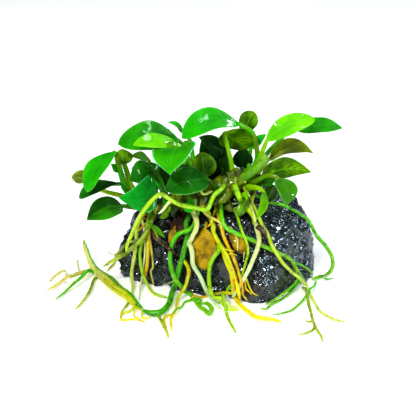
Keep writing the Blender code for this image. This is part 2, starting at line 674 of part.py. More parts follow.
def build_old_leaf(name, values, ground, collection):
    """A dying leaf that lies on the stone. The roots after it lie over it."""
    stalk, tip, width, lift = values
    places = [ground.place(place, lift) for place in stalk]
    end = ground.place(tip, lift)
    normal = distance_to(ground.skins[0], places[-1].lerp(end, 0.5))[1]
    route = smooth_route(places, ROUTE_STEP)
    route, _ = thinned(route, [STALK_RADIUS] * len(route), OLD_STALK_STEP)
    leaf = Leaf(stalk, tip, width, normal, lift * OLD_LEAF_ARCH, cup=0, belly=OLD_LEAF_BELLY,
                point=OLD_LEAF_POINT)
    bm = loft(leaf_rings(leaf, route, end))
    surface = BVHTree.FromBMesh(bm)
    ground.solids.append(surface)
    ground.skins.append(surface)
    mesh_piece(name, bm, "old_leaf", collection)


def build_root(name, values, surfaces, ground, collection):
    """One root, laid over what is under it. Returns its surface."""
    source, sizes, places = values
    route = smooth_route([ground.place(place, sizes[0] + CLEARANCE) for place in places], ROUTE_STEP)
    radii = [between(sizes, index / (len(route) - 1)) for index in range(len(route))]
    route, radii = trimmed(route, radii, surfaces[source])
    ground.lift_over(route, radii, source)
    route, radii = trimmed(route, radii, surfaces[source])
    ground.remember(name, route, radii)
    sides = THICK_ROOT_SIDES if max(sizes) >= THICK_ROOT else ROOT_SIDES
    return tube_piece(name, *thinned(route, radii, TUBE_STEP), sides, "root", collection)


def build():
    """Builds the stone, the rhizome, the leaves and the roots, in the order they lie."""
    clear_scene()
    collection = bpy.data.collections.new(OBJECT_NAME)
    bpy.context.scene.collection.children.link(collection)
    skin, solid = build_stone(collection)
    ground = Ground(skin, solid)
    surfaces = {"rhizome": build_rhizome(ground, collection)}
    build_cut_stalk(surfaces["rhizome"], collection)
    for name, values in LEAVES.items():
        build_leaf(name, values, surfaces["rhizome"], collection)
    for name, values in OLD_LEAVES.items():
        build_old_leaf(name, values, ground, collection)
    for name, values in ROOTS.items():
        surfaces[name] = build_root(name, values, surfaces, ground, collection)


build()
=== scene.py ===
"""Anubias on a stone, dressed for its picture.

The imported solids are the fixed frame. The stone, the rhizome, each leaf and each root get a fine piece that
stands where its solid is. Places are read in the front view, as (across, down) in its 416 pixel frame, and
become places in space where the line of sight meets the stone, the ground or a stated depth. Sizes are in
millimetres, and every finished mesh is in metres.
"""

from __future__ import annotations

import logging
import math
import random
from dataclasses import dataclass, field
from enum import Enum

import bmesh
import bpy
from mathutils import Matrix, Vector, noise
from mathutils.bvhtree import BVHTree
from mathutils.kdtree import KDTree


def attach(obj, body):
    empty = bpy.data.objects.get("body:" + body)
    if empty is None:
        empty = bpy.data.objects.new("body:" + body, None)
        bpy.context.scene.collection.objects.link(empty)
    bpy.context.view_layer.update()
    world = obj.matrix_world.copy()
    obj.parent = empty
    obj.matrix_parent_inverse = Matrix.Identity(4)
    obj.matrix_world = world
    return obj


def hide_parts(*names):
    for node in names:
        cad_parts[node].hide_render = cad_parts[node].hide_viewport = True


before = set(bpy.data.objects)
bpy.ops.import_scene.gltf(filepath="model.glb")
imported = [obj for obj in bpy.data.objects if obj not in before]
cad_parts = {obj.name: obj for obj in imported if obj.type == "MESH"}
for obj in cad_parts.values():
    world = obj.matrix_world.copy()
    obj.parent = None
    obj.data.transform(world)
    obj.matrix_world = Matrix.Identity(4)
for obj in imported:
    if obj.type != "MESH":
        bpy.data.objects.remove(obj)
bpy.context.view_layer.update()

MM = 0.001
Colour = tuple[float, float, float]
Place = tuple[float, ...]
Mark = tuple[float, float, float, float]
Ring = list[tuple[Vector, Mark]]
log = logging.getLogger("anubias")


def paint(red: int, green: int, blue: int) -> Colour:
    """A colour as light adds it up, from its usual 0 to 255 values.

    Args:
        red, green, blue: the values from 0 to 255.

    Returns:
        The linear colour.
    """
    return tuple(((value / 255 + 0.055) / 1.055) ** 2.4 if value > 10 else value / 3294 for value in (red, green, blue))


def ease(value: float, low: float, high: float) -> float:
    """A smooth step from 0 at low to 1 at high.

    Args:
        value: what is measured.
        low: where the step starts.
        high: where it ends.

    Returns:
        The share of the step.
    """
    share = min(1.0, max(0.0, (value - low) / (high - low)))
    return share * share * (3 - 2 * share)


def between(values: tuple[float, ...], share: float) -> float:
    """The value this share of the way along a row of values.

    Args:
        values: the row.
        share: from 0 at the first to 1 at the last.

    Returns:
        The value there.
    """
    place = share * (len(values) - 1)
    index = min(int(place), len(values) - 2)
    return values[index] + (values[index + 1] - values[index]) * (place - index)


# The view


@dataclass(frozen=True)
class View:
    """The front view: how places in its frame become places in space, and its camera."""

    elevation: float = math.radians(25)
    distance: float = 480.0
    pixel: float = 0.5
    frame_size: int = 416
    centre: Place = (208, 208)
    origin: Place = (217, 275)
    sensor: float = 36.0
    contrast: float = 0.85

    @property
    def forward(self) -> Vector:
        """The way the view looks."""
        return Vector((0, math.cos(self.elevation), -math.sin(self.elevation)))

    @property
    def upward(self) -> Vector:
        """The way that is up in the frame."""
        return Vector((0, math.sin(self.elevation), math.cos(self.elevation)))

    def on_plane(self, across: float, down: float) -> Vector:
        """A place of the frame, on the plane through the origin that faces the eye."""
        right = Vector((1, 0, 0)) * (across - self.origin[0])
        return (right + self.upward * (self.origin[1] - down)) * self.pixel

    @property
    def eye(self) -> Vector:
        """Where the view is seen from."""
        return self.on_plane(*self.centre) - self.forward * self.distance

    def sight(self, across: float, down: float) -> Vector:
        """The direction of the line of sight through a place of the frame."""
        return (self.on_plane(across, down) - self.eye).normalized()

    def at_depth(self, across: float, down: float, depth: float) -> Vector:
        """Where the line of sight has this Y."""
        ray = self.sight(across, down)
        return self.eye + ray * ((depth - self.eye.y) / ray.y)

    def at_height(self, across: float, down: float, height: float) -> Vector:
        """Where the line of sight has this Z."""
        ray = self.sight(across, down)
        return self.eye + ray * ((height - self.eye.z) / ray.z)

    def seen_at(self, point: Vector) -> Vector:
        """Where a point is seen in the frame, as across and down."""
        ray = point - self.eye
        flat = self.eye + ray * (self.distance / ray.dot(self.forward)) - self.on_plane(*self.origin)
        return Vector((self.origin[0] + flat.x / self.pixel, self.origin[1] - flat.dot(self.upward) / self.pixel))

    def place_camera(self) -> None:
        """Sets up the camera of this view."""
        camera = bpy.data.cameras.new("front_camera")
        camera.sensor_width = self.sensor
        camera.lens = self.sensor * self.distance / (self.frame_size * self.pixel)
        camera.clip_start, camera.clip_end = 0.01, 20
        holder = bpy.data.objects.new("front_camera", camera)
        holder.location = self.eye * MM
        holder.rotation_euler = self.forward.to_track_quat("-Z", "Y").to_euler()
        bpy.context.scene.collection.objects.link(holder)
        bpy.context.scene.camera = holder
        bpy.context.scene.view_settings.view_transform = "Standard"
        bpy.context.scene.view_settings.gamma = self.contrast


VIEW = View()


# Shader sums


class Socket:
    """A shader socket that takes part in sums. Each sum adds its own node."""

    def __init__(self, graph: Graph, output: bpy.types.NodeSocket) -> None:
        """Wraps one output of a graph's node."""
        self.graph = graph
        self.output = output

    def _sum(self, operation: str, first: Socket | float, second: Socket | float) -> Socket:
        """One Math node on two values."""
        return self.graph.add("ShaderNodeMath", {"operation": operation}, {0: first, 1: second})

    def __add__(self, other: Socket | float) -> Socket:
        """This plus other."""
        return self._sum("ADD", self, other)

    def __radd__(self, other: float) -> Socket:
        """Other plus this."""
        return self._sum("ADD", other, self)

    def __sub__(self, other: Socket | float) -> Socket:
        """This minus other."""
        return self._sum("SUBTRACT", self, other)

    def __rsub__(self, other: float) -> Socket:
        """Other minus this."""
        return self._sum("SUBTRACT", other, self)

    def __mul__(self, other: Socket | float) -> Socket:
        """This times other."""
        return self._sum("MULTIPLY", self, other)

    def __rmul__(self, other: float) -> Socket:
        """Other times this."""
        return self._sum("MULTIPLY", other, self)

    def __truediv__(self, other: Socket | float) -> Socket:
        """This over other."""
        return self._sum("DIVIDE", self, other)

    def __rtruediv__(self, other: float) -> Socket:
        """Other over this."""
        return self._sum("DIVIDE", other, self)

    def __pow__(self, other: Socket | float) -> Socket:
        """This to the power of other."""
        return self._sum("POWER", self, other)

    def __abs__(self) -> Socket:
        """This without its sign."""
        return self._sum("ABSOLUTE", self, 0.0)

    def wave(self) -> Socket:
        """The sine of this, brought to 0 to 1."""
        return self._sum("SINE", self, 0.0) * 0.5 + 0.5

    def step(self, low: float, high: float) -> Socket:
        """A smooth step of this from 0 at low to 1 at high."""
        settings = {"interpolation_type": "SMOOTHSTEP", "clamp": True}
        return self.graph.add("ShaderNodeMapRange", settings, {"Value": self, "From Min": low, "From Max": high})


class Graph:
    """The node graph of one material."""

    def __init__(self, name: str) -> None:
        """Starts an empty material.

        Args:
            name: the material's name.
        """
        self.material = bpy.data.materials.new(name)
        self.material.use_nodes = True
        self.tree = self.material.node_tree
        self.tree.nodes.clear()

    def add(self, kind: str, settings: dict | None = None, inputs: dict | None = None, output: int | str = 0) -> Socket:
        """Adds a node.

        Args:
            kind: the node's type.
            settings: its own values. Stops are a ramp's places and colours.
            inputs: values or links of its sockets, by name or number.
            output: which output to return.

        Returns:
            The output, ready for sums.
        """
        node = self.tree.nodes.new(kind)
        for key, value in (settings or {}).items():
            if key == "stops":
                while len(node.color_ramp.elements) < len(value):
                    node.color_ramp.elements.new(1)
                for element, (place, colour) in zip(node.color_ramp.elements, value):
                    element.position = place
                    element.color = (*colour, 1)
            else:
                setattr(node, key, value)
        for key, value in (inputs or {}).items():
            if isinstance(value, Socket):
                self.tree.links.new(value.output, node.inputs[key])
            elif isinstance(value, tuple) and node.inputs[key].type == "RGBA" and len(value) == 3:
                node.inputs[key].default_value = (*value, 1)
            else:
                node.inputs[key].default_value = value
        return Socket(self, node.outputs[output])

    def mark(self, name: str) -> Socket:
        """What the mesh carries under this name."""
        return self.add("ShaderNodeAttribute", {"attribute_name": name}, output="Fac")

    def cloud(self, scale: float, detail: float = 2.0, stretch: Vector | None = None, rough: float = 0.5) -> Socket:
        """Soft noise through the piece.

        Args:
            scale: patches to the metre.
            detail: how many finer layers.
            stretch: factors on the three axes.
            rough: how strong the finer layers are.

        Returns:
            A value around one half.
        """
        coordinates = self.add("ShaderNodeTexCoord", output="Object")
        if stretch:
            coordinates = self.add("ShaderNodeMapping", inputs={"Vector": coordinates, "Scale": stretch})
        inputs = {"Vector": coordinates, "Scale": scale, "Detail": detail, "Roughness": rough}
        return self.add("ShaderNodeTexNoise", inputs=inputs)

    def cells(self, scale: float, feature: str = "F1") -> Socket:
        """The distance to the nearest of scattered points, or to the nearest edge between them."""
        coordinates = self.add("ShaderNodeTexCoord", output="Object")
        inputs = {"Vector": coordinates, "Scale": scale}
        return self.add("ShaderNodeTexVoronoi", {"feature": feature}, inputs, output="Distance")

    def blend(self, share: Socket | float, first: Socket | Colour, second: Socket | Colour) -> Socket:
        """A colour this share of the way from the first to the second."""
        settings = {"data_type": "RGBA", "clamp_factor": True}
        return self.add("ShaderNodeMix", settings, {0: share, 6: first, 7: second}, output=2)

    def bump(self, height: Socket, strength: float, depth: float) -> Socket:
        """A bump of the surface.

        Args:
            height: from 0, low, to 1, high.
            strength: how much of it shows.
            depth: its height in millimetres.

        Returns:
            The bent normal.
        """
        return self.add("ShaderNodeBump", inputs={"Height": height, "Strength": strength, "Distance": depth * MM})

    def close(self, inputs: dict) -> bpy.types.Material:
        """Ends the graph in a Principled shader.

        Args:
            inputs: the shader's values and links, by name.

        Returns:
            The finished material.
        """
        surface = self.add("ShaderNodeBsdfPrincipled", inputs=inputs)
        self.add_output(surface)
        return self.material

    def add_output(self, surface: Socket) -> None:
        """Links a shader to the material's output."""
        end = self.tree.nodes.new("ShaderNodeOutputMaterial")
        self.tree.links.new(surface.output, end.inputs["Surface"])


# Finishes


@dataclass(frozen=True)
class LeafFinish:
    """A wet leaf: its upper face, its underside, its veins, its pale margin with a painted highlight along it, and on a
    folded blade the painted shade of one half.
    """

    light: Colour
    dark: Colour
    under: Colour
    under_dark: Colour
    # The margin colour is partly a paler margin and partly a painted highlight, as where the wet edge catches the
    # light.
    margin_highlight: Colour = paint(170, 245, 120)
    margin_highlight_share: float = 0.45
    vein: float = 0.1
    vein_count: float = 84.0
    # How much painted shade darkens one half of the blade, as on the shaded side of a fold.
    half_shade: float = 0.0
    roughness: float = 0.26
    coat: float = 0.45

    def material(self, name: str) -> bpy.types.Material:
        """The leaf's material.

        Args:
            name: the material's name.

        Returns:
            The material.
        """
        graph = Graph(name)
        along, across = graph.mark("along"), abs(graph.mark("across"))
        under, stalk = graph.mark("under"), graph.mark("stalk")
        patches = graph.cloud(150, 3.0)
        bent = along - across * 0.2 - across ** 2.0 * 0.22
        veins = ((bent * self.vein_count + patches * 1.6).wave() ** 5.0) * across.step(0.02, 0.12)
        midrib = 1.0 - across.step(0.02, 0.09)
        margin = across.step(0.9, 1.0) * (1.0 - stalk)
        shade = patches.step(0.3, 0.7) * 0.4 + along.step(0.05, 0.95) * 0.35 + across * 0.25
        top = graph.blend(shade, self.dark, self.light)
        # Painted shade: one half of the blade is darkened, as on the shaded side of a fold.
        top = graph.blend(graph.mark("across").step(-0.15, 0.2) * self.half_shade, top, self.dark)
        top = graph.blend(veins * self.vein, top, self.dark)
        top = graph.blend(midrib * 0.4 * (1.0 - stalk), top, self.light)
        # Painted highlight: the upper face's margin is lightened towards pale mint, as where the wet edge catches the
        # light.
        top = graph.blend(margin * self.margin_highlight_share, top, self.margin_highlight)
        low = graph.blend(patches.step(0.35, 0.7), self.under_dark, self.under)
        low = graph.blend(veins * (self.vein * 1.6), low, self.under_dark)
        low = graph.blend(midrib * 0.6, low, self.light)
        low = graph.blend(margin * 0.6, low, self.light)
        blade = graph.blend(under, top, low)
        stem = graph.blend(graph.cloud(90, 2.0).step(0.35, 0.65), self.under, self.light)
        colour = graph.blend(stalk, blade, stem)
        height = veins * 0.3 + graph.cloud(1300, 2.0) * 0.12 + graph.cloud(420, 2.0) * 0.6 + patches - midrib * 0.5
        rough = graph.cloud(420, 2.0).step(0.3, 0.75) * 0.25 + self.roughness
        wet = graph.cloud(190, 3.0).step(0.46, 0.56) * self.coat
        return graph.close({
            "Base Color": colour, "Roughness": rough, "Normal": graph.bump(height, 0.4, 0.4),
            "Coat Weight": wet, "Coat Roughness": 0.05, "Specular IOR Level": 0.07,
            "Subsurface Weight": 0.1, "Subsurface Radius": (0.5, 1.0, 0.1), "Subsurface Scale": 0.001,
        })


class Tone(Enum):
    """The kinds of leaf on this plant, and the painted shade of those deep inside it."""

    BRIGHT = LeafFinish(paint(140, 232, 0), paint(74, 184, 0), paint(150, 195, 10), paint(85, 130, 5))
    FRESH = LeafFinish(paint(50, 204, 0), paint(8, 138, 0), paint(125, 165, 10), paint(65, 105, 5))
    # Its pale mint margin is almost wholly a painted highlight along the leaf's lit edge.
    RIMMED = LeafFinish(paint(72, 200, 0), paint(16, 128, 0), paint(110, 150, 10), paint(60, 100, 5),
                        margin_highlight=paint(150, 250, 195), margin_highlight_share=0.95)
    MIDDLE = LeafFinish(paint(50, 184, 2), paint(8, 106, 0), paint(100, 145, 10), paint(50, 90, 5))
    HANGING = LeafFinish(paint(92, 168, 2), paint(22, 104, 0), paint(110, 150, 10), paint(50, 90, 5))
    STRAP = LeafFinish(paint(150, 216, 0), paint(66, 150, 0), paint(150, 195, 10), paint(85, 130, 5), coat=0.8)
    # A folded leaf with painted shade on its upper half.
    TWO_TONED = LeafFinish(paint(62, 168, 2), paint(14, 78, 0), paint(70, 110, 5), paint(34, 48, 2), half_shade=0.85)
    # Its mint margin is a painted highlight along the lit edge.
    EMERALD = LeafFinish(paint(6, 184, 44), paint(0, 112, 18), paint(50, 120, 10), paint(20, 70, 5),
                         margin_highlight=paint(150, 250, 195))
    # A darker green, partly the leaves' own colour and partly painted shade for leaves that sit in shadow among the
    # others.
    DARK = LeafFinish(paint(36, 146, 4), paint(6, 72, 0), paint(55, 90, 5), paint(22, 48, 2))
    # Painted shade: a near-black green for leaves deep in the plant, which stands for the shade that falls there.
    SHADE = LeafFinish(paint(22, 84, 2), paint(4, 36, 0), paint(32, 60, 4), paint(10, 28, 2), coat=0.1)
    OLIVE = LeafFinish(paint(110, 185, 4), paint(50, 120, 0), paint(138, 196, 0), paint(62, 110, 0), vein=0.6,
                       vein_count=50, roughness=0.36, coat=0.2)
    OLIVE_PALE = LeafFinish(paint(120, 195, 4), paint(60, 130, 0), paint(176, 198, 20), paint(96, 122, 0), vein=0.4,
                            vein_count=50, roughness=0.36, coat=0.2)
    BROWNED = LeafFinish(paint(115, 175, 6), paint(55, 100, 0), paint(176, 196, 2), paint(104, 120, 0), vein=0.5,
                         vein_count=50, roughness=0.38, coat=0.2)


@dataclass(frozen=True)
class RootFinish:
    """A wet root, from its start to its tip."""

    start: Colour
    end: Colour
    dark: Colour
    streak: Colour
    roughness: float = 0.34

    def material(self, name: str) -> bpy.types.Material:
        """The root's material.

        Args:
            name: the material's name.

        Returns:
            The material.
        """
        graph = Graph(name)
        along, patches = graph.mark("along"), graph.cloud(170, 3.0)
        colour = graph.blend((along + patches * 0.9 - 0.45).step(0.15, 0.85), self.start, self.end)
        side = (graph.mark("across") + patches * 3.0).wave()
        colour = graph.blend(side.step(0.55, 0.95) * 0.7, colour, self.streak)
        colour = graph.blend(graph.mark("under"), colour, self.streak)
        colour = graph.blend(graph.cloud(330, 3.0).step(0.52, 0.72) * 0.7, colour, self.dark)
        colour = graph.blend(graph.cloud(900, 1.0).step(0.6, 0.75) * 0.25, colour, paint(240, 250, 180))
        height = graph.cloud(1100, 2.0) * 0.7 + graph.cloud(320, 2.0) * 0.6
        return graph.close({
            "Base Color": colour, "Roughness": graph.cloud(500, 1.0) * 0.25 + (self.roughness - 0.12),
            "Normal": graph.bump(height, 0.6, 0.5), "Coat Weight": 0.6, "Coat Roughness": 0.08,
            "Specular IOR Level": 0.12, "Subsurface Weight": 0.12, "Subsurface Radius": (1.0, 0.9, 0.2),
            "Subsurface Scale": 0.001,
        })


class RootTone(Enum):
    """The kinds of root on this plant."""

    LIME = RootFinish(paint(158, 214, 0), paint(200, 232, 8), paint(88, 140, 0), paint(110, 190, 0))
    YELLOW = RootFinish(paint(200, 214, 0), paint(255, 230, 4), paint(212, 158, 0), paint(240, 216, 0))
    MINT = RootFinish(paint(222, 228, 140), paint(218, 246, 204), paint(165, 190, 80), paint(236, 244, 190))
    GREEN = RootFinish(paint(82, 200, 0), paint(120, 190, 2), paint(22, 120, 0), paint(165, 212, 8))
    DEEP = RootFinish(paint(36, 156, 4), paint(70, 176, 4), paint(4, 88, 2), paint(105, 188, 6))
    OLIVE = RootFinish(paint(134, 168, 0), paint(186, 204, 44), paint(84, 104, 0), paint(196, 212, 60))
    AMBER = RootFinish(paint(205, 196, 4), paint(238, 178, 4), paint(168, 116, 0), paint(226, 210, 10))
    PALE = RootFinish(paint(184, 212, 30), paint(222, 232, 130), paint(140, 165, 14), paint(220, 230, 90))
    TAN = RootFinish(paint(212, 204, 84), paint(228, 212, 116), paint(138, 116, 30), paint(180, 190, 44))
    MAT = RootFinish(paint(206, 210, 22), paint(236, 228, 130), paint(172, 168, 24), paint(76, 182, 2))
    STALK = RootFinish(paint(92, 158, 0), paint(118, 180, 0), paint(56, 104, 0), paint(150, 200, 8))
    BROWN = RootFinish(paint(84, 54, 18), paint(70, 42, 12), paint(38, 24, 8), paint(120, 84, 34))


@dataclass(frozen=True)
class RhizomeFinish:
    """The knobby green stem that lies on the stone, with brown scars where leaves have dropped."""

    light: Colour = paint(140, 168, 0)
    dark: Colour = paint(54, 78, 0)
    scar: Colour = paint(62, 54, 4)

    def material(self, name: str) -> bpy.types.Material:
        """The stem's material.

        Args:
            name: the material's name.

        Returns:
            The material.
        """
        graph = Graph(name)
        patches, fine = graph.cloud(110, 4.0), graph.cloud(700, 3.0)
        rings = (graph.mark("along") * 110.0 + patches * 4.0).wave()
        colour = graph.blend(patches.step(0.35, 0.62), self.dark, self.light)
        colour = graph.blend(rings.step(0.75, 1.0) * 0.6, colour, self.scar)
        colour = graph.blend(fine.step(0.56, 0.7) * 0.5, colour, self.scar)
        return graph.close({
            "Base Color": colour, "Roughness": fine * 0.3 + 0.2, "Coat Weight": 0.8, "Coat Roughness": 0.06,
            "Specular IOR Level": 0.15, "Normal": graph.bump(fine * 0.6 + rings * 0.4, 0.8, 0.8),
        })


@dataclass(frozen=True)
class OldLeafFinish:
    """A dying leaf, gone amber or brown and soft."""

    light: Colour
    dark: Colour
    vein: float = 0.08

    def material(self, name: str) -> bpy.types.Material:
        """The dying leaf's material.

        Args:
            name: the material's name.

        Returns:
            The material.
        """
        graph = Graph(name)
        patches, fine = graph.cloud(190, 4.0), graph.cloud(900, 3.0)
        veins = (graph.mark("along") * 40.0 - abs(graph.mark("across")) * 12.0).wave() ** 6.0
        colour = graph.blend(patches.step(0.35, 0.65), self.dark, self.light)
        colour = graph.blend(veins * self.vein + fine.step(0.52, 0.68) * 0.45, colour, self.dark)
        return graph.close({
            "Base Color": colour, "Roughness": fine * 0.25 + 0.25, "Coat Weight": 0.2, "Coat Roughness": 0.08,
            "Specular IOR Level": 0.1,
            "Normal": graph.bump(fine * 0.7 + veins * 0.3, 0.6, 0.5), "Subsurface Weight": 0.2,
            "Subsurface Radius": (1.0, 0.6, 0.1), "Subsurface Scale": 0.0015,
        })


@dataclass(frozen=True)
class StoneFinish:
    """Wet dark lava rock, with brown and olive patches, painted shade in its pores and a film of water on it."""

    black: Colour = paint(8, 10, 12)
    grey: Colour = paint(30, 42, 54)
    brown: Colour = paint(48, 34, 10)
    green: Colour = paint(28, 38, 8)

    def material(self, name: str) -> bpy.types.Material:
        """The stone's material.

        Args:
            name: the material's name.

        Returns:
            The material.
        """
        graph = Graph(name)
        broad, middle, fine = graph.cloud(45, 4.0), graph.cloud(260, 4.0), graph.cloud(1500, 3.0)
        pores = graph.cells(330).step(0.12, 0.5)
        crumbs = graph.cells(900).step(0.1, 0.6)
        colour = graph.blend(middle.step(0.45, 0.75), self.black, self.grey)
        colour = graph.blend(broad.step(0.5, 0.68) * 0.6, colour, self.brown)
        colour = graph.blend(graph.cloud(80, 2.0).step(0.58, 0.72) * 0.5, colour, self.green)
        # Painted shade: the pores are darkened towards black, as the shade that falls in them.
        colour = graph.blend((1.0 - pores) * 0.8, colour, self.black)
        height = pores * 0.62 + crumbs * 0.26 + fine * 0.12
        return graph.close({
            "Base Color": colour, "Roughness": fine * 0.2 + 0.16, "Coat Weight": 1.0,
            "Coat Roughness": 0.08, "Coat IOR": 1.6, "Coat Tint": (0.72, 0.88, 1.0, 1.0), "Specular IOR Level": 0.5,
            "Normal": graph.bump(height, 1.0, 1.8),
        })


@dataclass(frozen=True)
class FloorFinish:
    """A plain pale floor."""

    colour: Colour = (0.93, 0.93, 0.93)

    def material(self, name: str) -> bpy.types.Material:
        """The floor's material."""
        graph = Graph(name)
        return graph.close({"Base Color": self.colour, "Roughness": 0.9, "Specular IOR Level": 0.1,
                            "Emission Color": (1.0, 1.0, 1.0), "Emission Strength": 0.4})


class Finishes:
    """Makes each material once."""

    def __init__(self) -> None:
        """Starts with none made."""
        self.made: dict[str, bpy.types.Material] = {}

    def get(self, name: str, finish: LeafFinish | RootFinish | RhizomeFinish | OldLeafFinish | StoneFinish | FloorFinish) -> bpy.types.Material:
        """The material of a finish.

        Args:
            name: the material's name.
            finish: what it is made from.

        Returns:
            The material.
        """
        if name not in self.made:
            self.made[name] = finish.material(name)
        return self.made[name]


FINISHES = Finishes()


# Growing skins


class Growth:
    """A closed skin drawn out ring by ring, in millimetres. Its points carry what their finish reads."""

    MARKS = ("along", "across", "under", "stalk")

    def __init__(self) -> None:
        """Starts with an empty mesh."""
        self.bm = bmesh.new()
        self.layers = [self.bm.verts.layers.float.new(name) for name in self.MARKS]

    def settle(self, row: list[bmesh.types.BMVert], ring: Ring) -> None:
        """Puts a row of points on a ring, with its marks."""
        for vert, (place, marks) in zip(row, ring):
            vert.co = place
            for layer, mark in zip(self.layers, marks):
                vert[layer] = mark

    def skin(self, rings: list[Ring]) -> None:
        """Draws a skin out over rings, and closes its two ends.

        Args:
            rings: the rings, with as many points each.
        """
        row = bmesh.ops.create_circle(self.bm, segments=len(rings[0]), radius=1, cap_ends=False)["verts"]
        edges = list({edge for vert in row for edge in vert.link_edges})
        bmesh.ops.contextual_create(self.bm, geom=edges)
        self.settle(row, rings[0])
        for ring in rings[1:]:
            made = bmesh.ops.extrude_edge_only(self.bm, edges=edges)["geom"]
            edges = [item for item in made if isinstance(item, bmesh.types.BMEdge)]
            new = {item for item in made if isinstance(item, bmesh.types.BMVert)}
            row = [next(edge.other_vert(vert) for edge in vert.link_edges if edge.other_vert(vert) in new)
                   for vert in row]
            self.settle(row, ring)
        bmesh.ops.contextual_create(self.bm, geom=edges)

    def tube(self, route: list[Vector], radii: list[float], sides: int = 10, rough: float = 0.07,
             tint: float = 0.0) -> None:
        """Grows a round tube along a route, with rounded ends.

        Args:
            route: the tube's middle line.
            radii: its radius at each point of the route.
            sides: how many points each ring has.
            rough: how uneven its skin is.
            tint: how much of its finish's second colour it shows.
        """
        rings: list[Ring] = []
        ahead = (route[1] - route[0]).normalized()
        across = ahead.orthogonal().normalized()
        last = len(route) - 1
        for index, point in enumerate(route):
            ahead = (route[min(index + 1, last)] - route[max(index - 1, 0)]).normalized()
            across = (across - ahead * across.dot(ahead)).normalized()
            other = ahead.cross(across)
            to_end = min(index, last - index)
            size = radii[index] * (0.55, 0.9, 1.0)[min(to_end, 2)]
            ring = []
            for side in range(sides):
                angle = 2 * math.pi * side / sides
                way = across * math.cos(angle) + other * math.sin(angle)
                swell = 1 + rough * (noise.noise(point * 0.5 + way) + 0.6 * noise.noise(point * 1.3 + way * 2))
                ring.append((point + way * size * swell, (index / last, angle, tint, 1)))
            rings.append(ring)
        self.skin(rings)

    def piece(self, name: str, material: bpy.types.Material, nodes: tuple[str, ...] = ()) -> bpy.types.Object:
        """Ends the growth as a piece of the model.

        Args:
            name: the piece's name.
            material: its finish.
            nodes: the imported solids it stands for.

        Returns:
            The piece.
        """
        bmesh.ops.scale(self.bm, verts=self.bm.verts, vec=(MM, MM, MM))
        bmesh.ops.recalc_face_normals(self.bm, faces=self.bm.faces)
        return dress(self.bm, name, material, nodes)


def dress(bm: bmesh.types.BMesh, name: str, material: bpy.types.Material, nodes: tuple[str, ...]) -> bpy.types.Object:
    """Makes an object of a finished bmesh, which rides on the body.

    Args:
        bm: the mesh, in metres. It is used up.
        name: the object's name.
        material: its finish.
        nodes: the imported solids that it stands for.

    Returns:
        The object.
    """
    mesh = bpy.data.meshes.new(name)
    bm.to_mesh(mesh)
    bm.free()
    mesh.shade_smooth()
    mesh.materials.append(material)
    thing = bpy.data.objects.new(name, mesh)
    bpy.context.scene.collection.objects.link(thing)
    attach(thing, "root")
    for node in nodes:
        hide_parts(node)
    log.info("%s: %d faces", name, len(mesh.polygons))
    return thing


# Routes


def smooth_route(points: list[Vector], step: float = 1.0) -> list[Vector]:
    """Points a step apart on a smooth curve through these points.

    Args:
        points: where the curve goes through.
        step: the distance between points of the route.

    Returns:
        The route.
    """
    ends = [points[0] * 2 - points[1], *points, points[-1] * 2 - points[-2]]
    route = []
    for before, start, end, after in zip(ends, ends[1:], ends[2:], ends[3:]):
        count = max(1, round((end - start).length / step))
        for index in range(count):
            t = index / count
            route.append(0.5 * (2 * start + (end - before) * t
                                + (2 * before - 5 * start + 4 * end - after) * t * t
                                + (3 * start - before - 3 * end + after) * t ** 3))
    return route + [points[-1]]


class Solids:
    """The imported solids, in millimetres, as surfaces to measure from."""

    def __init__(self) -> None:
        """Starts with none read."""
        self.trees: dict[str, BVHTree] = {}

    def mesh(self, node: str) -> bmesh.types.BMesh:
        """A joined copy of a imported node's mesh, in millimetres."""
        bm = bmesh.new()
        bm.from_mesh(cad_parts[node].data)
        bmesh.ops.scale(bm, verts=bm.verts, vec=(1 / MM, 1 / MM, 1 / MM))
        bmesh.ops.remove_doubles(bm, verts=bm.verts, dist=0.002)
        return bm

    def tree(self, node: str) -> BVHTree:
        """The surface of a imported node."""
        if node not in self.trees:
            bm = self.mesh(node)
            self.trees[node] = BVHTree.FromBMesh(bm)
            bm.free()
        return self.trees[node]

    @staticmethod
    def inside(surface: BVHTree, point: Vector) -> bool:
        """Whether a point is inside a closed surface: the way up from it meets the surface an odd number of times."""
        crossings, start = 0, point
        while crossings < 12:
            hit = surface.ray_cast(start, Vector((0, 0, 1)))[0]
            if hit is None:
                break
            crossings += 1
            start = hit + Vector((0, 0, 0.01))
        return crossings % 2 == 1

    @classmethod
    def distance(cls, surface: BVHTree, point: Vector) -> tuple[float, Vector]:
        """How far a point is outside a closed surface, and the way out.

        Args:
            surface: the surface.
            point: the point.

        Returns:
            The distance, below 0 inside, and the direction.
        """
        nearest, normal, _, distance = surface.find_nearest(point)
        if distance < 0.001:
            return 0.0, normal
        if cls.inside(surface, point):
            return -distance, (nearest - point) / distance
        return distance, (point - nearest) / distance


SOLIDS = Solids()


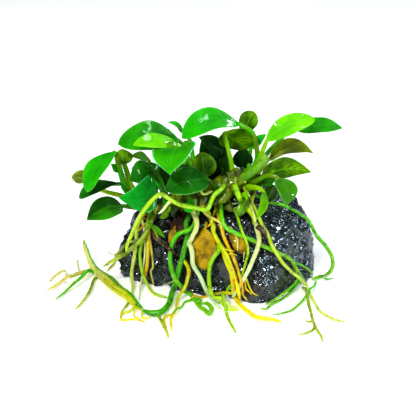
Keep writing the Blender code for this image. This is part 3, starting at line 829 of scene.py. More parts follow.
@dataclass
class StoneForm:
    """The stone's main form, which roots and dying leaves are laid on: its corners' hull, rounded."""

    centre: Vector = field(default_factory=lambda: Vector((0, 0, 18)))
    detail: int = 6
    sunk: float = 6
    reach: float = 200
    stretch: Place = (1.6, 1.1, 1)
    foot: tuple[Place, ...] = (
        (122, 271), (135, 283), (159, 287), (186, 293), (221, 291), (233, 299),
        (246, 303), (277, 302), (286, 296), (297, 285), (309, 275),
    )
    outline: tuple[Place, ...] = (
        (113, 264, 2), (114, 250, 3), (120, 236, 4), (126, 222, 5), (130, 213, 6), (140, 206, 6),
        (165, 199, 8), (200, 191, 10), (240, 184, 12), (278, 184, 12), (297, 191, 8), (304, 203, 6),
        (309, 216, 5), (314, 238, 4), (318, 256, 2), (319, 266, 0),
    )
    seat: tuple[Place, ...] = ((182, 210, -5), (206, 205, -3), (230, 196, 1), (252, 183, 7))
    corners: tuple[Place, ...] = (
        (-31, -9, 27), (-9, -13, 34), (14, -16, 35), (34, -12, 31), (24, -31, 8), (-14, -19, 8),
        (-36, 20, 0), (-14, 30, 0), (20, 32, 0), (42, 20, 0), (-30, 22, 22), (0, 30, 28), (30, 24, 30),
    )

    def surface(self) -> BVHTree:
        """The rounded form as a surface."""
        places = [VIEW.at_height(*place, 0) for place in self.foot]
        places += [VIEW.at_depth(*place) for place in self.outline + self.seat]
        places += [Vector(corner) for corner in self.corners]
        hull = bmesh.new()
        for place in places:
            hull.verts.new(place - Vector((0, 0, self.sunk)) if place.z < 1 else place)
        bmesh.ops.convex_hull(hull, input=hull.verts)
        faces = BVHTree.FromBMesh(hull)
        hull.free()
        ball = bmesh.new()
        bmesh.ops.create_icosphere(ball, subdivisions=self.detail, radius=1)
        for vert in ball.verts:
            way = Vector(co * factor for co, factor in zip(vert.co, self.stretch)).normalized()
            vert.co = faces.ray_cast(self.centre + way * self.reach, -way)[0]
        for _ in range(3):
            bmesh.ops.smooth_vert(ball, verts=ball.verts, factor=0.5, use_axis_x=True, use_axis_y=True,
                                  use_axis_z=True)
        bmesh.ops.recalc_face_normals(ball, faces=ball.faces)
        ball.normal_update()
        surface = BVHTree.FromBMesh(ball)
        ball.free()
        return surface


class Ground:
    """What the roots lie on: the stone, the dying leaves on it, and the floor."""

    GAP = 0.35
    CLEARANCE = 0.7
    REACH = 7
    NEAR_STONE = 6

    def __init__(self) -> None:
        """Takes the stone's main form to find places on, and its solid to stay out of."""
        self.skins = [StoneForm().surface()]
        self.solids = [SOLIDS.tree("stone")]
        self.laid: dict[str, tuple[KDTree, list[Vector], list[float]]] = {}

    def place(self, point: Place, lift: float) -> Vector:
        """A place of the front view, in space: on what the line of sight meets, or at its stated depth.

        Args:
            point: across and down, and the depth where it has one.
            lift: how far above the surface.

        Returns:
            The place.
        """
        if len(point) == 3:
            return VIEW.at_depth(*point)
        ray = VIEW.sight(*point)
        hits = [skin.ray_cast(VIEW.eye, ray) for skin in self.skins]
        found = [(hit[3], hit[0] + hit[1] * lift) for hit in hits if hit[0] is not None and hit[0].z > 0]
        return min(found, key=lambda pair: pair[0])[1] if found else VIEW.at_height(*point, lift)

    def fade(self, steps: int) -> float:
        """How much of a push is left this many steps along."""
        return math.cos(min(1, abs(steps) / self.REACH) * math.pi / 2) ** 2

    def needs(self, point: Vector, radius: float, source: str, room: float) -> tuple[float, Vector]:
        """How far a point of a route has to move, and which way.

        Args:
            point: the point.
            radius: the route's radius there.
            source: the root that it grows from, which it may touch.
            room: the gap to keep.

        Returns:
            The distance and the direction.
        """
        most, way = radius + min(room, self.GAP) - point.z, Vector((0, 0, 1))
        for solid in self.solids:
            distance, normal = SOLIDS.distance(solid, point)
            if radius + room - distance > most:
                most, way = radius + room - distance, normal
        on_stone = SOLIDS.distance(self.skins[0], point)[0] < self.NEAR_STONE
        over = (VIEW.eye - point).normalized() if on_stone else Vector((0, 0, 1))
        for name, (tree, _, sizes) in self.laid.items():
            if name == source:
                continue
            _, index, distance = tree.find(point)
            if radius + sizes[index] + room - distance > max(most, 0):
                most, way = radius + sizes[index] + room - distance, over
        return max(most, 0), way

    def lift_over(self, route: list[Vector], radii: list[float], source: str = "", room: float = CLEARANCE) -> None:
        """Lifts a route off the solids and over the roots laid before it, in long low humps.

        Args:
            route: the route, changed in place.
            radii: its radii.
            source: the root that it grows from, which it may touch.
            room: the gap to keep.
        """
        for _ in range(6):
            needed = [self.needs(point, radius, source, room) for point, radius in zip(route, radii)]
            if max(amount for amount, _ in needed) < 0.02:
                break
            for index, point in enumerate(list(route)):
                near = range(max(0, index - self.REACH), min(len(route), index + self.REACH + 1))
                push = max(near, key=lambda other: needed[other][0] * self.fade(index - other))
                amount, way = needed[push]
                route[index] = point + way * (amount * self.fade(index - push))

    def trimmed(self, route: list[Vector], radii: list[float], source: str) -> int:
        """How many points at a route's start are inside or against the solid that it grows from."""
        start, surface = 0, SOLIDS.tree(source)
        for index, (point, radius) in enumerate(zip(route, radii)):
            if SOLIDS.distance(surface, point)[0] < radius + self.GAP:
                start = index + 1
            elif index > start + 6:
                break
        return start

    def remember(self, name: str, route: list[Vector], radii: list[float]) -> None:
        """Keeps a root that is laid, for the roots after it."""
        tree = KDTree(len(route))
        for index, point in enumerate(route):
            tree.insert(point, index)
        tree.balance()
        self.laid[name] = (tree, list(route), list(radii))

    def on_root(self, name: str, place: Place) -> Vector:
        """The point of a laid root that is seen nearest to a place of the frame."""
        spot = Vector(place[:2])
        return min(self.laid[name][1], key=lambda point: (VIEW.seen_at(point) - spot).length)


# Stone


@dataclass
class Stone:
    """The porous stone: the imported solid, made finer and pitted."""

    pores: int = 1500
    pore_radius: tuple[float, float] = (0.8, 2.3)
    pore_depth: float = 0.75
    rim_height: float = 0.16
    grit: float = 0.35
    base_fade: float = 2.5

    def pore_places(self, verts: list[bmesh.types.BMVert]) -> tuple[KDTree, list[float]]:
        """Where the pores are, and how wide.

        Args:
            verts: the points of the fine stone.

        Returns:
            Their middles, as a tree, and their radii.
        """
        rng = random.Random(5)
        tree, radii = KDTree(self.pores), []
        for index in range(self.pores):
            low, high = self.pore_radius
            tree.insert(rng.choice(verts).co, index)
            radii.append(low + (high - low) * rng.random() ** 2.2)
        tree.balance()
        return tree, radii

    def build(self) -> None:
        """Builds the stone and dresses it."""
        coarse = bpy.data.meshes.new("stone_coarse")
        bm = SOLIDS.mesh("stone")
        bm.to_mesh(coarse)
        bm.free()
        guide = bpy.data.objects.new("stone_coarse", coarse)
        bpy.context.scene.collection.objects.link(guide)
        finer = guide.modifiers.new("finer", "SUBSURF")
        finer.levels = finer.render_levels = 2
        bpy.context.view_layer.update()
        fine = bpy.data.meshes.new_from_object(guide.evaluated_get(bpy.context.evaluated_depsgraph_get()))
        bpy.data.objects.remove(guide, do_unlink=True)
        bm = bmesh.new()
        bm.from_mesh(fine)
        bpy.data.meshes.remove(fine)
        bm.normal_update()
        tree, radii = self.pore_places(bm.verts[:])
        shifts = []
        for vert in bm.verts:
            shift = self.grit * noise.fractal(vert.co * 0.45, 0.6, 2.0, 3)
            deepest = 0.0
            for _, index, distance in tree.find_range(vert.co, self.pore_radius[1] * 1.3):
                share = distance / radii[index]
                if share < 1:
                    deepest = max(deepest, self.pore_depth * radii[index] * (1 - share ** 2) ** 1.2)
                elif share < 1.3:
                    shift += self.rim_height * (1 - abs(share - 1.15) / 0.15)
            shifts.append((shift - deepest) * ease(vert.co.z, 0.0, self.base_fade))
        for vert, shift in zip(bm.verts, shifts):
            vert.co += vert.normal * shift
            vert.co.z = max(vert.co.z, 0.0)
        bmesh.ops.scale(bm, verts=bm.verts, vec=(MM, MM, MM))
        dress(bm, "lava_stone", FINISHES.get("wet_lava_rock", StoneFinish()), ("stone",))


# Rhizome


@dataclass
class Rhizome:
    """The knobby stem along the top of the stone, with its buds and the cut stalk."""

    route: tuple[Place, ...] = ((140, 207, 1), (160, 205, -3), (182, 201, -5), (206, 195, -3), (230, 187, 1), (252, 177, 7))
    radii: tuple[float, ...] = (2.6, 3.6, 4.2, 4.6, 5.4, 4.6, 3.2)
    knob: float = 0.13
    knob_length: float = 6.5
    cut_stalk: tuple[Place, ...] = ((240, 180, -2), (250, 174, -4), (259, 166, -4), (266, 155, -4))
    cut_radius: float = 2.0
    buds: tuple[tuple[Place, Place, float], ...] = (
        ((219, 199, -7), (214, 205, -11), 1.7), ((228, 192, -6), (223, 203, -11), 2.4),
        ((236, 190, -4), (239, 199, -8), 1.6), ((207, 197, -8), (199, 206, -13), 2.0),
        ((187, 203, -9), (192, 208, -13), 2.3), ((241, 178, 0), (236, 168, -1), 2.4),
        ((230, 184, -2), (228, 172, -1), 2.2), ((218, 190, -3), (221, 179, -3), 1.9),
        ((172, 207, -8), (165, 213, -11), 1.7), ((247, 181, 1), (254, 188, -3), 1.7),
        ((198, 197, -7), (195, 187, -6), 1.7), ((250, 178, 2), (262, 176, 1), 1.8),
        ((229, 191, -5), (219, 202, -11), 3.2), ((226, 205, -7), (233, 211, -9), 2.6),
        ((214, 187, -6), (204, 182, -10), 2.1), ((212, 196, -8), (208, 207, -13), 2.2),
        ((245, 176, 0), (239, 184, -5), 3.0), ((222, 186, -5), (226, 177, -4), 2.2),
        ((200, 202, -10), (203, 211, -14), 1.9), ((177, 206, -10), (172, 214, -13), 2.1),
        ((166, 209, -8), (162, 217, -12), 1.8), ((233, 178, 0), (232, 170, 0), 2.6),
    )
    stubs: int = 46

    def grow_stubs(self, growth: Growth, route: list[Vector], sizes: list[float]) -> None:
        """Grows the short remains of old leaf stalks and roots all over the stem.

        Args:
            growth: what they grow in.
            route: the stem's middle line.
            sizes: its radii.
        """
        rng = random.Random(8)
        for _ in range(self.stubs):
            index = rng.randrange(2, len(route) - 2)
            ahead = (route[index + 1] - route[index - 1]).normalized()
            angle = rng.uniform(-2.3, 1.2)
            out = Vector((0, -1, 0)) * math.cos(angle) + Vector((0, 0, -1)) * math.sin(angle)
            out = (out + ahead * rng.uniform(-0.7, 0.7)).normalized()
            radius, length = rng.uniform(0.5, 1.3), rng.uniform(0.8, 2.6)
            start = route[index] + out * (sizes[index] - 1.0)
            bend = Vector((rng.uniform(-0.6, 0.6), rng.uniform(-0.4, 0.1), rng.uniform(-0.5, 0.5)))
            way = smooth_route([start, start + out * (1.0 + length / 2), start + (out + bend * 0.5) * (1.0 + length)], 0.6)
            growth.tube(way, [radius * (1 - 0.5 * step / len(way)) for step in range(len(way))], 8, 0.2)

    def build(self, ground: Ground) -> None:
        """Builds the stem, its buds and the cut stalk.

        Args:
            ground: what the stem lies on.
        """
        route = smooth_route([VIEW.at_depth(*place) for place in self.route])
        sizes = []
        for index in range(len(route)):
            wave = math.sin(2 * math.pi * index / self.knob_length)
            sizes.append((1 + self.knob * wave) * between(self.radii, index / (len(route) - 1)))
        ground.lift_over(route, sizes)
        growth = Growth()
        growth.tube(route, sizes, 28, 0.3)
        self.grow_stubs(growth, route, sizes)
        for start, end, radius in self.buds:
            way = smooth_route([VIEW.at_depth(*start), VIEW.at_depth(*end)], 0.6)
            growth.tube(way, [radius * (1 - 0.55 * index / len(way)) for index in range(len(way))], 12, 0.25)
        growth.piece("green_rhizome", FINISHES.get("rhizome_skin", RhizomeFinish()), ("rhizome",))
        stalk = Growth()
        route = smooth_route([VIEW.at_depth(*place) for place in self.cut_stalk])
        stalk.tube(route, [self.cut_radius] * len(route), 16)
        stalk.piece("cut_leaf_stalk", FINISHES.get("cut_stalk", RootTone.STALK.value), ("cut_stalk",))


# Leaves


@dataclass
class Leaf:
    """One leaf, stalk and blade in one skin."""

    stalk: list[Place]
    tip: Place
    width: float
    faces: Place
    tone: Tone
    arch: float = 3.0
    cup: float = 0.1
    sweep: float = 0.0
    belly: float = 0.42
    point: float = 0.35
    twist: float = 0.0
    lobes: float = 0.0
    wave: float = 0.06
    stalk_radius: float = 1.0
    sheath: float = 0.6
    lamina: float = 0.28
    rings: int = 26
    places: tuple[float, ...] = (1, 0.95, 0.85, 0.7, 0.52, 0.34, 0.18, 0.07, 0, -0.07, -0.18, -0.34, -0.52, -0.7, -0.85, -0.95, -1)

    def half_width(self, t: float) -> float:
        """Half of the blade's width along its length, widest at its belly."""
        swell = math.sin(math.pi * max(t, 0.001) ** (math.log(0.5) / math.log(self.belly)))
        return self.width / 2 * max(swell, 0) ** (0.5 + self.point * t)

    def section(self, half: float, rib: float, groove: float) -> list[tuple[float, float, float]]:
        """The blade's outline across, from one margin over the top and back below.

        Args:
            half: half the width here.
            rib: the midrib's radius here.
            groove: how far the midrib has sunk into the upper face, from 0 to 1.

        Returns:
            For each point the share across, the height off the middle, and 1 on the underside.
        """
        points = []
        for side, row in ((1, self.places), (-1, self.places[-2:0:-1])):
            for s in row:
                round_ = math.sqrt(max(0.0, 1 - s * s))
                bulge = math.sqrt(max(0.0, 1 - (s * half / self.stalk_radius) ** 2)) * rib
                if side > 0:
                    height = self.lamina * round_ * groove + bulge * (1 - groove * 1.12)
                else:
                    height = self.lamina * round_ * groove + bulge
                points.append((s, side * height, 0.0 if side > 0 else 1.0))
        return points

    def blade_rings(self, base: Vector, tip: Vector, seed: float) -> tuple[list[Ring], Vector]:
        """The rings of the blade, and the way that is across at its foot.

        Args:
            base: where the stalk ends.
            tip: the blade's tip.
            seed: a number that makes its waves its own.

        Returns:
            The rings and the direction.
        """
        along = (tip - base).normalized()
        faces = Vector(self.faces)
        facing = (faces - along * faces.dot(along)).normalized()
        side = along.cross(facing)
        rings = []
        for step in range(self.rings + 1):
            t = step / self.rings
            bow = 4 * t * (1 - t)
            turn = Matrix.Rotation(math.radians(self.twist) * t, 3, along)
            out, up = turn @ side, turn @ facing
            centre = base.lerp(tip, t) + facing * self.arch * bow + side * self.sweep * bow
            half = max(self.half_width(t), self.stalk_radius * max(0.12, 1 - t * 6))
            rib = self.stalk_radius * (0.12 + 0.88 * (1 - ease(t, 0.0, 0.75)))
            ring = []
            for s, height, under in self.section(half, rib, ease(t, 0.0, 0.1)):
                ripple = self.wave * half * s * s * math.sin(9 * t + seed + (1.7 if s > 0 else 0))
                lift = self.cup * half * s * s + ripple
                back = along * (self.lobes * s * s * (1 - t) ** 3)
                place = centre + out * half * s + up * (lift + height) - back
                ring.append((place, (t, s, under, 1 - ease(t, 0.0, 0.05))))
            rings.append(ring)
        return rings, side

    def grow(self, growth: Growth, route: list[Vector], tip: Vector, seed: float) -> None:
        """Grows the leaf into a skin.

        Args:
            growth: what it grows in.
            route: the stalk's middle line, up to the blade.
            tip: the blade's tip.
            seed: a number that makes its waves its own.
        """
        blade, side = self.blade_rings(route[-1], tip, seed)
        rings: list[Ring] = []
        outline = self.section(self.stalk_radius, self.stalk_radius, 0.0)
        for index, point in enumerate(route[:-1]):
            ahead = route[index + 1] - route[max(index - 1, 0)]
            across = (side - ahead * side.dot(ahead) / ahead.length_squared).normalized()
            top = across.cross(ahead.normalized())
            swell = 1 + self.sheath * (1 - index / len(route)) ** 2
            rings.append([(point + (across * self.stalk_radius * s + top * height) * swell, (0.0, s, under, 1.0))
                          for s, height, under in outline])
        growth.skin(rings + blade)

    def build(self, name: str, nodes: tuple[str, ...]) -> None:
        """Builds the leaf as a piece.

        Args:
            name: the piece's name.
            nodes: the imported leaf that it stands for, where it has one.
        """
        growth = Growth()
        route = smooth_route([VIEW.at_depth(*place) for place in self.stalk], 1.5)
        self.grow(growth, route, VIEW.at_depth(*self.tip), len(name) * 1.7)
        material = FINISHES.get("leaf_" + self.tone.name.lower(), self.tone.value)
        growth.piece(name, material, nodes)


@dataclass
class Foliage:
    """All the green leaves."""

    leaves: dict[str, Leaf] = field(default_factory=lambda: {
        "leaf_top_big": Leaf([(248, 178, 6), (257, 160, 9), (256, 145, 8), (252, 132, 5), (239, 124, 2)],
                             (182, 138, -10), 14.5, (-0.1, -0.55, 0.85), Tone.FRESH, arch=4, sweep=3.5, belly=0.52,
                             point=0.05),
        "leaf_upper_left": Leaf([(172, 200, -3), (176, 180, 5), (182, 160, 8), (184, 147, 8), (178, 140, 5)],
                                (118, 144, -3), 20, (-0.15, -0.45, 0.87), Tone.MIDDLE, belly=0.48, point=0.12),
        "leaf_front_bright": Leaf([(180, 199, -5), (183, 172, -4), (184, 155, -6), (178, 146, -7)],
                                  (133, 145, -15), 9.5, (0, -0.45, 0.9), Tone.BRIGHT, belly=0.5, point=0.15),
        "leaf_front_heart": Leaf([(190, 197, -5), (191, 172, -9), (187, 156, -13), (177, 148, -16)],
                                 (170, 175, -30), 21, (-0.35, -0.6, 0.65), Tone.RIMMED, arch=2, belly=0.27,
                                 point=0.45, lobes=4.0),
        "leaf_rolled_young": Leaf([(194, 194, 2), (193, 160, 11), (189, 138, 11), (182, 131, 10)],
                                  (168, 122, 9), 3.5, (0, -0.3, 1), Tone.FRESH, arch=1, cup=0.5),
        "leaf_top_back": Leaf([(246, 178, 9), (246, 155, 19), (244, 142, 22), (242, 134, 23)],
                              (253, 111, 25), 9.5, (0.1, 1, 0.1), Tone.OLIVE, arch=-1, belly=0.6, point=0.05),
        "leaf_centre_veined": Leaf([(233, 184, 2), (232, 168, 1), (229, 153, 2), (224, 133, 5)],
                                   (248, 149, 12), 17, (0.2, 0.95, 0.2), Tone.OLIVE, arch=1, belly=0.5, point=0.1),
        "leaf_right_bright": Leaf([(252, 176, 4), (258, 163, 2), (263, 150, 2), (267, 140, 3)],
                                  (315, 119, 7), 10.5, (0.1, -0.65, 0.75), Tone.BRIGHT, arch=2.5, sweep=-1.5, belly=0.5,
                                  point=0.05),
        "leaf_right_far": Leaf([(254, 175, 11), (266, 155, 24), (282, 138, 29), (294, 127, 28)],
                               (342, 128, 22), 13, (0, -0.35, 0.93), Tone.MIDDLE, arch=1, belly=0.45, point=0.3),
        "leaf_right_olive": Leaf([(256, 175, 9), (263, 166, 12), (269, 159, 13)],
                                 (313, 153, 17), 11, (0, 0.9, 0.35), Tone.BROWNED, arch=2, sweep=4.5, point=0.4),
        "leaf_right_tip": Leaf([(253, 179, 6), (257, 180, 2), (262, 176, 1)],
                               (311, 172, -1), 12, (0.1, 0.95, 0.2), Tone.OLIVE, arch=2, sweep=2),
        "leaf_right_hanging": Leaf([(247, 184, 2), (256, 181, -5), (266, 176, -9), (273, 176, -11), (279, 179, -12)],
                                   (286, 206, -19), 11.5, (0.5, -0.8, 0.3), Tone.HANGING, arch=2, sweep=-1.5, belly=0.4),
        "leaf_right_dark": Leaf([(252, 184, 1), (264, 184, -4), (274, 185, -5)],
                                (267, 203, -9), 7, (0.3, 0.9, 0.2), Tone.DARK, arch=1),
        "leaf_right_rim": Leaf([(248, 187, -5), (258, 188, -13), (264, 192, -16)],
                               (256, 219, -25), 5.5, (-0.7, -0.7, 0.1), Tone.STRAP, arch=-3, cup=0.3),
        "leaf_small_right": Leaf([(250, 178, 8), (249, 160, 13), (251, 148, 13)],
                                 (266, 134, 14), 5, (-0.2, -0.7, 0.6), Tone.FRESH, arch=1),
        "leaf_left_drooping": Leaf([(142, 205, 1), (127, 190, 1), (120, 170, 0), (116, 152, -2)],
                                   (87, 192, -16), 12.5, (-0.55, -0.6, 0.6), Tone.FRESH, arch=4, belly=0.56, point=0.0, stalk_radius=1.25),
        "leaf_left_behind": Leaf([(144, 205, 3), (122, 196, 5), (104, 191, 8), (92, 183, 9)],
                                 (72, 176, 8), 13, (0.1, 0.8, 0.5), Tone.OLIVE_PALE, arch=1, belly=0.6, point=0.0),
        "leaf_left_underside": Leaf([(146, 204, 3), (131, 186, 5), (127, 172, 6), (124, 164, 6)],
                                    (122, 149, 7), 9, (0.2, 0.9, 0.3), Tone.OLIVE, arch=1, point=0.1, stalk_radius=1.25),
        "leaf_left_edge": Leaf([(142, 206, -2), (129, 195, -3), (121, 184, -3)],
                               (79, 198, -8), 11, (-0.1, -0.25, 1), Tone.DARK, belly=0.68, point=0.1),
        "leaf_left_low": Leaf([(144, 208, -4), (131, 207, -8), (122, 206, -10)],
                              (87, 220, -17), 14, (0, -0.45, 0.9), Tone.TWO_TONED, point=0.3),
        "leaf_emerald": Leaf([(166, 205, -6), (163, 192, -9), (153, 179, -9)],
                             (119, 198, -15), 14, (-0.1, -0.9, 0.4), Tone.EMERALD, arch=1, sweep=-6, belly=0.42,
                             point=0.3),
        "leaf_folded": Leaf([(168, 204, 0), (166, 194, 5), (162, 184, 8)],
                            (131, 168, 8), 8.5, (-0.25, -0.5, 0.8), Tone.MIDDLE, arch=7.5, belly=0.45),
        "leaf_inner_dark": Leaf([(164, 205, -5), (164, 190, -3), (160, 178, -2), (153, 169, -2)],
                                (130, 181, -5), 12, (0.2, -0.7, 0.7), Tone.DARK, belly=0.35),
        "leaf_small_left": Leaf([(156, 203, -1), (154, 175, 9), (148, 159, 11)],
                                (131, 156, 9), 6, (0, -0.4, 0.9), Tone.OLIVE, arch=1),
        "leaf_centre_dark": Leaf([(218, 192, -6), (213, 184, -11), (207, 179, -13)],
                                 (165, 191, -22), 15, (-0.2, -0.65, 0.7), Tone.DARK, belly=0.45, point=0.25),
        "leaf_centre_olive": Leaf([(208, 193, 0), (206, 183, 1), (204, 177, 1)],
                                  (202, 152, 3), 12.5, (0.1, 0.95, 0.3), Tone.OLIVE, arch=1, point=0.15),
        # leaf_shade_upper and leaf_shade_lower carry the painted shade of Tone.SHADE.
        "leaf_shade_upper": Leaf([(218, 188, 4), (224, 166, 13), (223, 151, 14)],
                                 (199, 137, 12), 9, (0, -0.6, 0.8), Tone.SHADE, arch=1),
        "leaf_shade_lower": Leaf([(224, 186, 3), (222, 170, 9), (219, 160, 9)],
                                 (209, 147, 8), 6.5, (0, -0.7, 0.6), Tone.SHADE, arch=1),
    })

    # The shade_leaf pieces are painted shade: dark leaves set in the gaps deep in the plant, where only shade is seen.
    inner: dict[str, Leaf] = field(default_factory=lambda: {
        "shade_leaf_right": Leaf([(238, 186, 5), (241, 176, 10), (242, 168, 12)],
                                 (244, 147, 14), 10, (0, -0.8, 0.5), Tone.SHADE, arch=1),
        "shade_leaf_middle": Leaf([(206, 196, 2), (212, 182, 9)],
                                  (214, 160, 10), 12, (0, -0.8, 0.5), Tone.SHADE, arch=1),
        "shade_leaf_centre": Leaf([(196, 198, 1), (192, 186, 6)],
                                  (186, 160, 8), 13, (0.1, -0.8, 0.5), Tone.SHADE, arch=1),
        "shade_leaf_left": Leaf([(158, 204, 1), (152, 192, 5)],
                                (144, 172, 8), 11, (0, -0.8, 0.5), Tone.SHADE, arch=1),
        "shade_leaf_gap": Leaf([(178, 200, 1), (172, 190, 5)],
                               (160, 165, 7), 11, (0, -0.8, 0.5), Tone.SHADE, arch=1),
        "shade_leaf_back": Leaf([(224, 188, 8), (223, 172, 15)],
                                (202, 138, 18), 15, (0, -0.8, 0.5), Tone.SHADE, arch=1),
        "shade_leaf_stem": Leaf([(222, 190, 4), (225, 180, 8)],
                                (227, 152, 13), 7, (0, -0.8, 0.5), Tone.SHADE, arch=1),
        "shade_leaf_low": Leaf([(256, 184, 3), (260, 183, 3)],
                               (277, 177, 4), 6, (0, -0.8, 0.5), Tone.DARK, arch=1),
        "wet_leaf_scrap": Leaf([(192, 178, -8), (190, 172, -10)],
                               (171, 168, -13), 6, (0.1, -0.6, 0.8), Tone.OLIVE, arch=1, wave=0.2),
        "left_leaf_scrap": Leaf([(122, 176, 1), (119, 171, 1)],
                                (111, 164, 0), 4, (0, -0.7, 0.6), Tone.FRESH, arch=1),
        "root_bract": Leaf([(148, 222, -14), (151, 225, -15)],
                           (165, 238, -18), 2.4, (0.3, -0.8, 0.5), Tone.OLIVE, arch=0.5, cup=0.6, stalk_radius=0.6),
        "round_bract": Leaf([(190, 198, -10), (193, 200, -13)],
                            (186, 212, -15), 5.5, (0, -1, 0.3), Tone.FRESH, arch=0.5, belly=0.6, point=0),
        "left_bract": Leaf([(170, 208, -9), (168, 212, -11)],
                           (160, 219, -13), 3.2, (0, 0.9, -0.4), Tone.OLIVE, arch=1, stalk_radius=0.7),
        "stem_bract": Leaf([(244, 194, -8), (247, 199, -11)],
                           (238, 216, -14), 4.6, (0, 0.9, -0.3), Tone.OLIVE, arch=1, belly=0.6, point=0),
    })

    def build(self) -> None:
        """Builds every leaf, and then the small ones that have no solid."""
        for name, leaf in self.leaves.items():
            leaf.build("fine_" + name, (name,))
        for name, leaf in self.inner.items():
            leaf.build(name, ())


@dataclass
class OldLeaves:
    """The dying leaves that lie on the front of the stone, with stalk, tip, width, lift and colours."""

    amber: OldLeafFinish = OldLeafFinish(paint(202, 168, 4), paint(128, 98, 0))
    brown: OldLeafFinish = OldLeafFinish(paint(104, 56, 18), paint(46, 26, 8), vein=0.5)

    def build(self, ground: Ground) -> None:
        """Builds them on the stone.

        Args:
            ground: what they lie on. The roots after them lie over them.
        """
        leaves = {
            "old_leaf_amber": ([(207, 224), (206, 229)], (206, 269), 12, 2.4, self.amber, "dying_leaf_amber"),
            "old_leaf_amber_right": ([(229, 233), (232, 237)], (246, 254), 5, 1.4, self.amber, "dying_leaf_amber"),
            "old_leaf_brown": ([(180, 215), (180, 218)], (178, 242), 7, 1.8, self.brown, "dying_leaf_brown"),
        }
        for name, (stalk, tip, width, lift, finish, label) in leaves.items():
            route = smooth_route([ground.place(place, lift) for place in stalk])
            end = ground.place(tip, lift)
            way = SOLIDS.distance(ground.skins[0], route[-1].lerp(end, 0.5))[1]
            leaf = Leaf(stalk, tip, width, tuple(way), Tone.OLIVE, arch=lift * 0.7, cup=0, belly=0.52, point=0.1,
                        wave=0.14, stalk_radius=0.7, sheath=0)
            growth = Growth()
            leaf.grow(growth, route, end, 2.0)
            surface = BVHTree.FromBMesh(growth.bm)
            ground.solids.append(SOLIDS.tree(name))
            ground.skins.append(surface)
            growth.piece("fine_" + name, FINISHES.get(label, finish), (name,))
        scraps = {
            "ochre_scrap_left": ([(176, 226), (175, 229)], (173, 246), 4.5, 1.0, self.amber, "dying_leaf_amber"),
            "ochre_scrap_right": ([(228, 230), (231, 233)], (246, 252), 5, 1.2, self.amber, "dying_leaf_amber"),
            "brown_scrap": ([(186, 212), (185, 216)], (183, 236), 4, 1.4, self.brown, "dying_leaf_brown"),
        }
        for name, (stalk, tip, width, lift, finish, label) in scraps.items():
            route = smooth_route([ground.place(place, lift) for place in stalk])
            end = ground.place(tip, lift)
            way = SOLIDS.distance(ground.skins[0], route[-1].lerp(end, 0.5))[1]
            leaf = Leaf(stalk, tip, width, tuple(way), Tone.OLIVE, arch=1, cup=0.3, wave=0.3, stalk_radius=0.5, sheath=0)
            growth = Growth()
            leaf.grow(growth, route, end, 5.0)
            growth.piece(name, FINISHES.get(label, finish))


# Roots


@dataclass
class Root:
    """One root: what it grows from, its radii from start to end, its route and its tone.

    A place with no depth lies on the stone or the floor, and later roots pass over earlier ones.
    """

    source: str
    radii: tuple[float, ...]
    places: list[Place]
    tone: RootTone
    strands: int = 1
    taper: int = 6

    def grow_strands(self, growth: Growth, route: list[Vector], radii: list[float], sides: int) -> None:
        """Grows a bundle of thin strands that wind loosely within the root's thickness.

        Args:
            growth: what they grow in.
            route: the root's middle line.
            radii: its radii.
            sides: points to each strand's ring.
        """
        rng = random.Random(4)
        for strand in range(self.strands):
            turn, lean = rng.uniform(0.05, 0.25) * rng.choice((-1, 1)), 2 * math.pi * strand / self.strands
            share, shift = rng.uniform(0.3, 0.44), rng.uniform(0.5, 0.66)
            first = rng.randrange(0, 5)
            line, sizes = [], []
            for index in range(first, len(route) - rng.randrange(0, 4)):
                ahead = route[min(index + 1, len(route) - 1)] - route[max(index - 1, 0)]
                across = ahead.cross(Vector((0, 0, 1))).normalized()
                angle = lean + turn * 6 * index / len(route)
                way = across * math.cos(angle) + ahead.normalized().cross(across) * math.sin(angle)
                line.append(route[index] + way * radii[index] * shift)
                sizes.append(radii[index] * share * (1 + 0.25 * noise.noise(route[index] * 0.4 + Vector((lean, 0, 0)))))
            growth.tube(line, sizes, sides, 0.1, 1.0 if lean > 4.4 or lean < 0.3 else 0.0)

    def grow(self, growth: Growth, ground: Ground, name: str, sides: int) -> None:
        """Lays the root and grows its skin.

        Args:
            growth: what it grows in.
            ground: what it lies on.
            name: its name, for the roots after it.
            sides: points to each ring.
        """
        points = [ground.place(place, self.radii[0] + ground.CLEARANCE) for place in self.places]
        route = smooth_route(points)
        radii = [between(self.radii, index / (len(route) - 1)) for index in range(len(route))]
        start = ground.trimmed(route, radii, self.source)
        head, route, sizes = route[:start], route[start:], radii[start:]
        ground.lift_over(route, sizes, self.source)
        start = ground.trimmed(route, sizes, self.source)
        head += route[:start]
        free, sizes = route[start:], sizes[start:]
        ground.remember(name, free, sizes)
        route = head[-12:] + free
        radii = [sizes[0]] * (len(route) - len(sizes)) + sizes
        for index in range(1, self.taper + 1):
            radii[-index] *= 0.35 + 0.65 * (index / (self.taper + 1)) ** 0.7
        for _ in range(2):
            route[1:-1] = [(before + 2 * here + after) / 4 for before, here, after in zip(route, route[1:], route[2:])]
        if self.strands > 1:
            self.grow_strands(growth, route, radii, sides)
        else:
            growth.tube(route, radii, sides, 0.12)

    def grow_fine(self, growth: Growth, ground: Ground, name: str) -> None:
        """Lays a thin root that has no solid, from a place on a laid root or on the stem.

        Args:
            growth: what it grows in.
            ground: what it lies on.
            name: its name, for the thin roots after it.
        """
        points = [ground.place(place, self.radii[0] + 0.2) for place in self.places]
        if self.source in ground.laid:
            points[0] = ground.on_root(self.source, self.places[0])
        route = smooth_route(points, 0.8)
        radii = [between(self.radii, index / (len(route) - 1)) for index in range(len(route))]
        rest = route[2:]
        ground.lift_over(rest, radii[2:], self.source, 0.05)
        route = route[:2] + rest
        for _ in range(2):
            route[1:-1] = [(before + 2 * here + after) / 4 for before, here, after in zip(route, route[1:], route[2:])]
        for index in range(1, 5):
            radii[-index] *= 0.4 + 0.12 * index
        growth.tube(route, radii, 8, 0.15)
        ground.remember(name, route, radii)


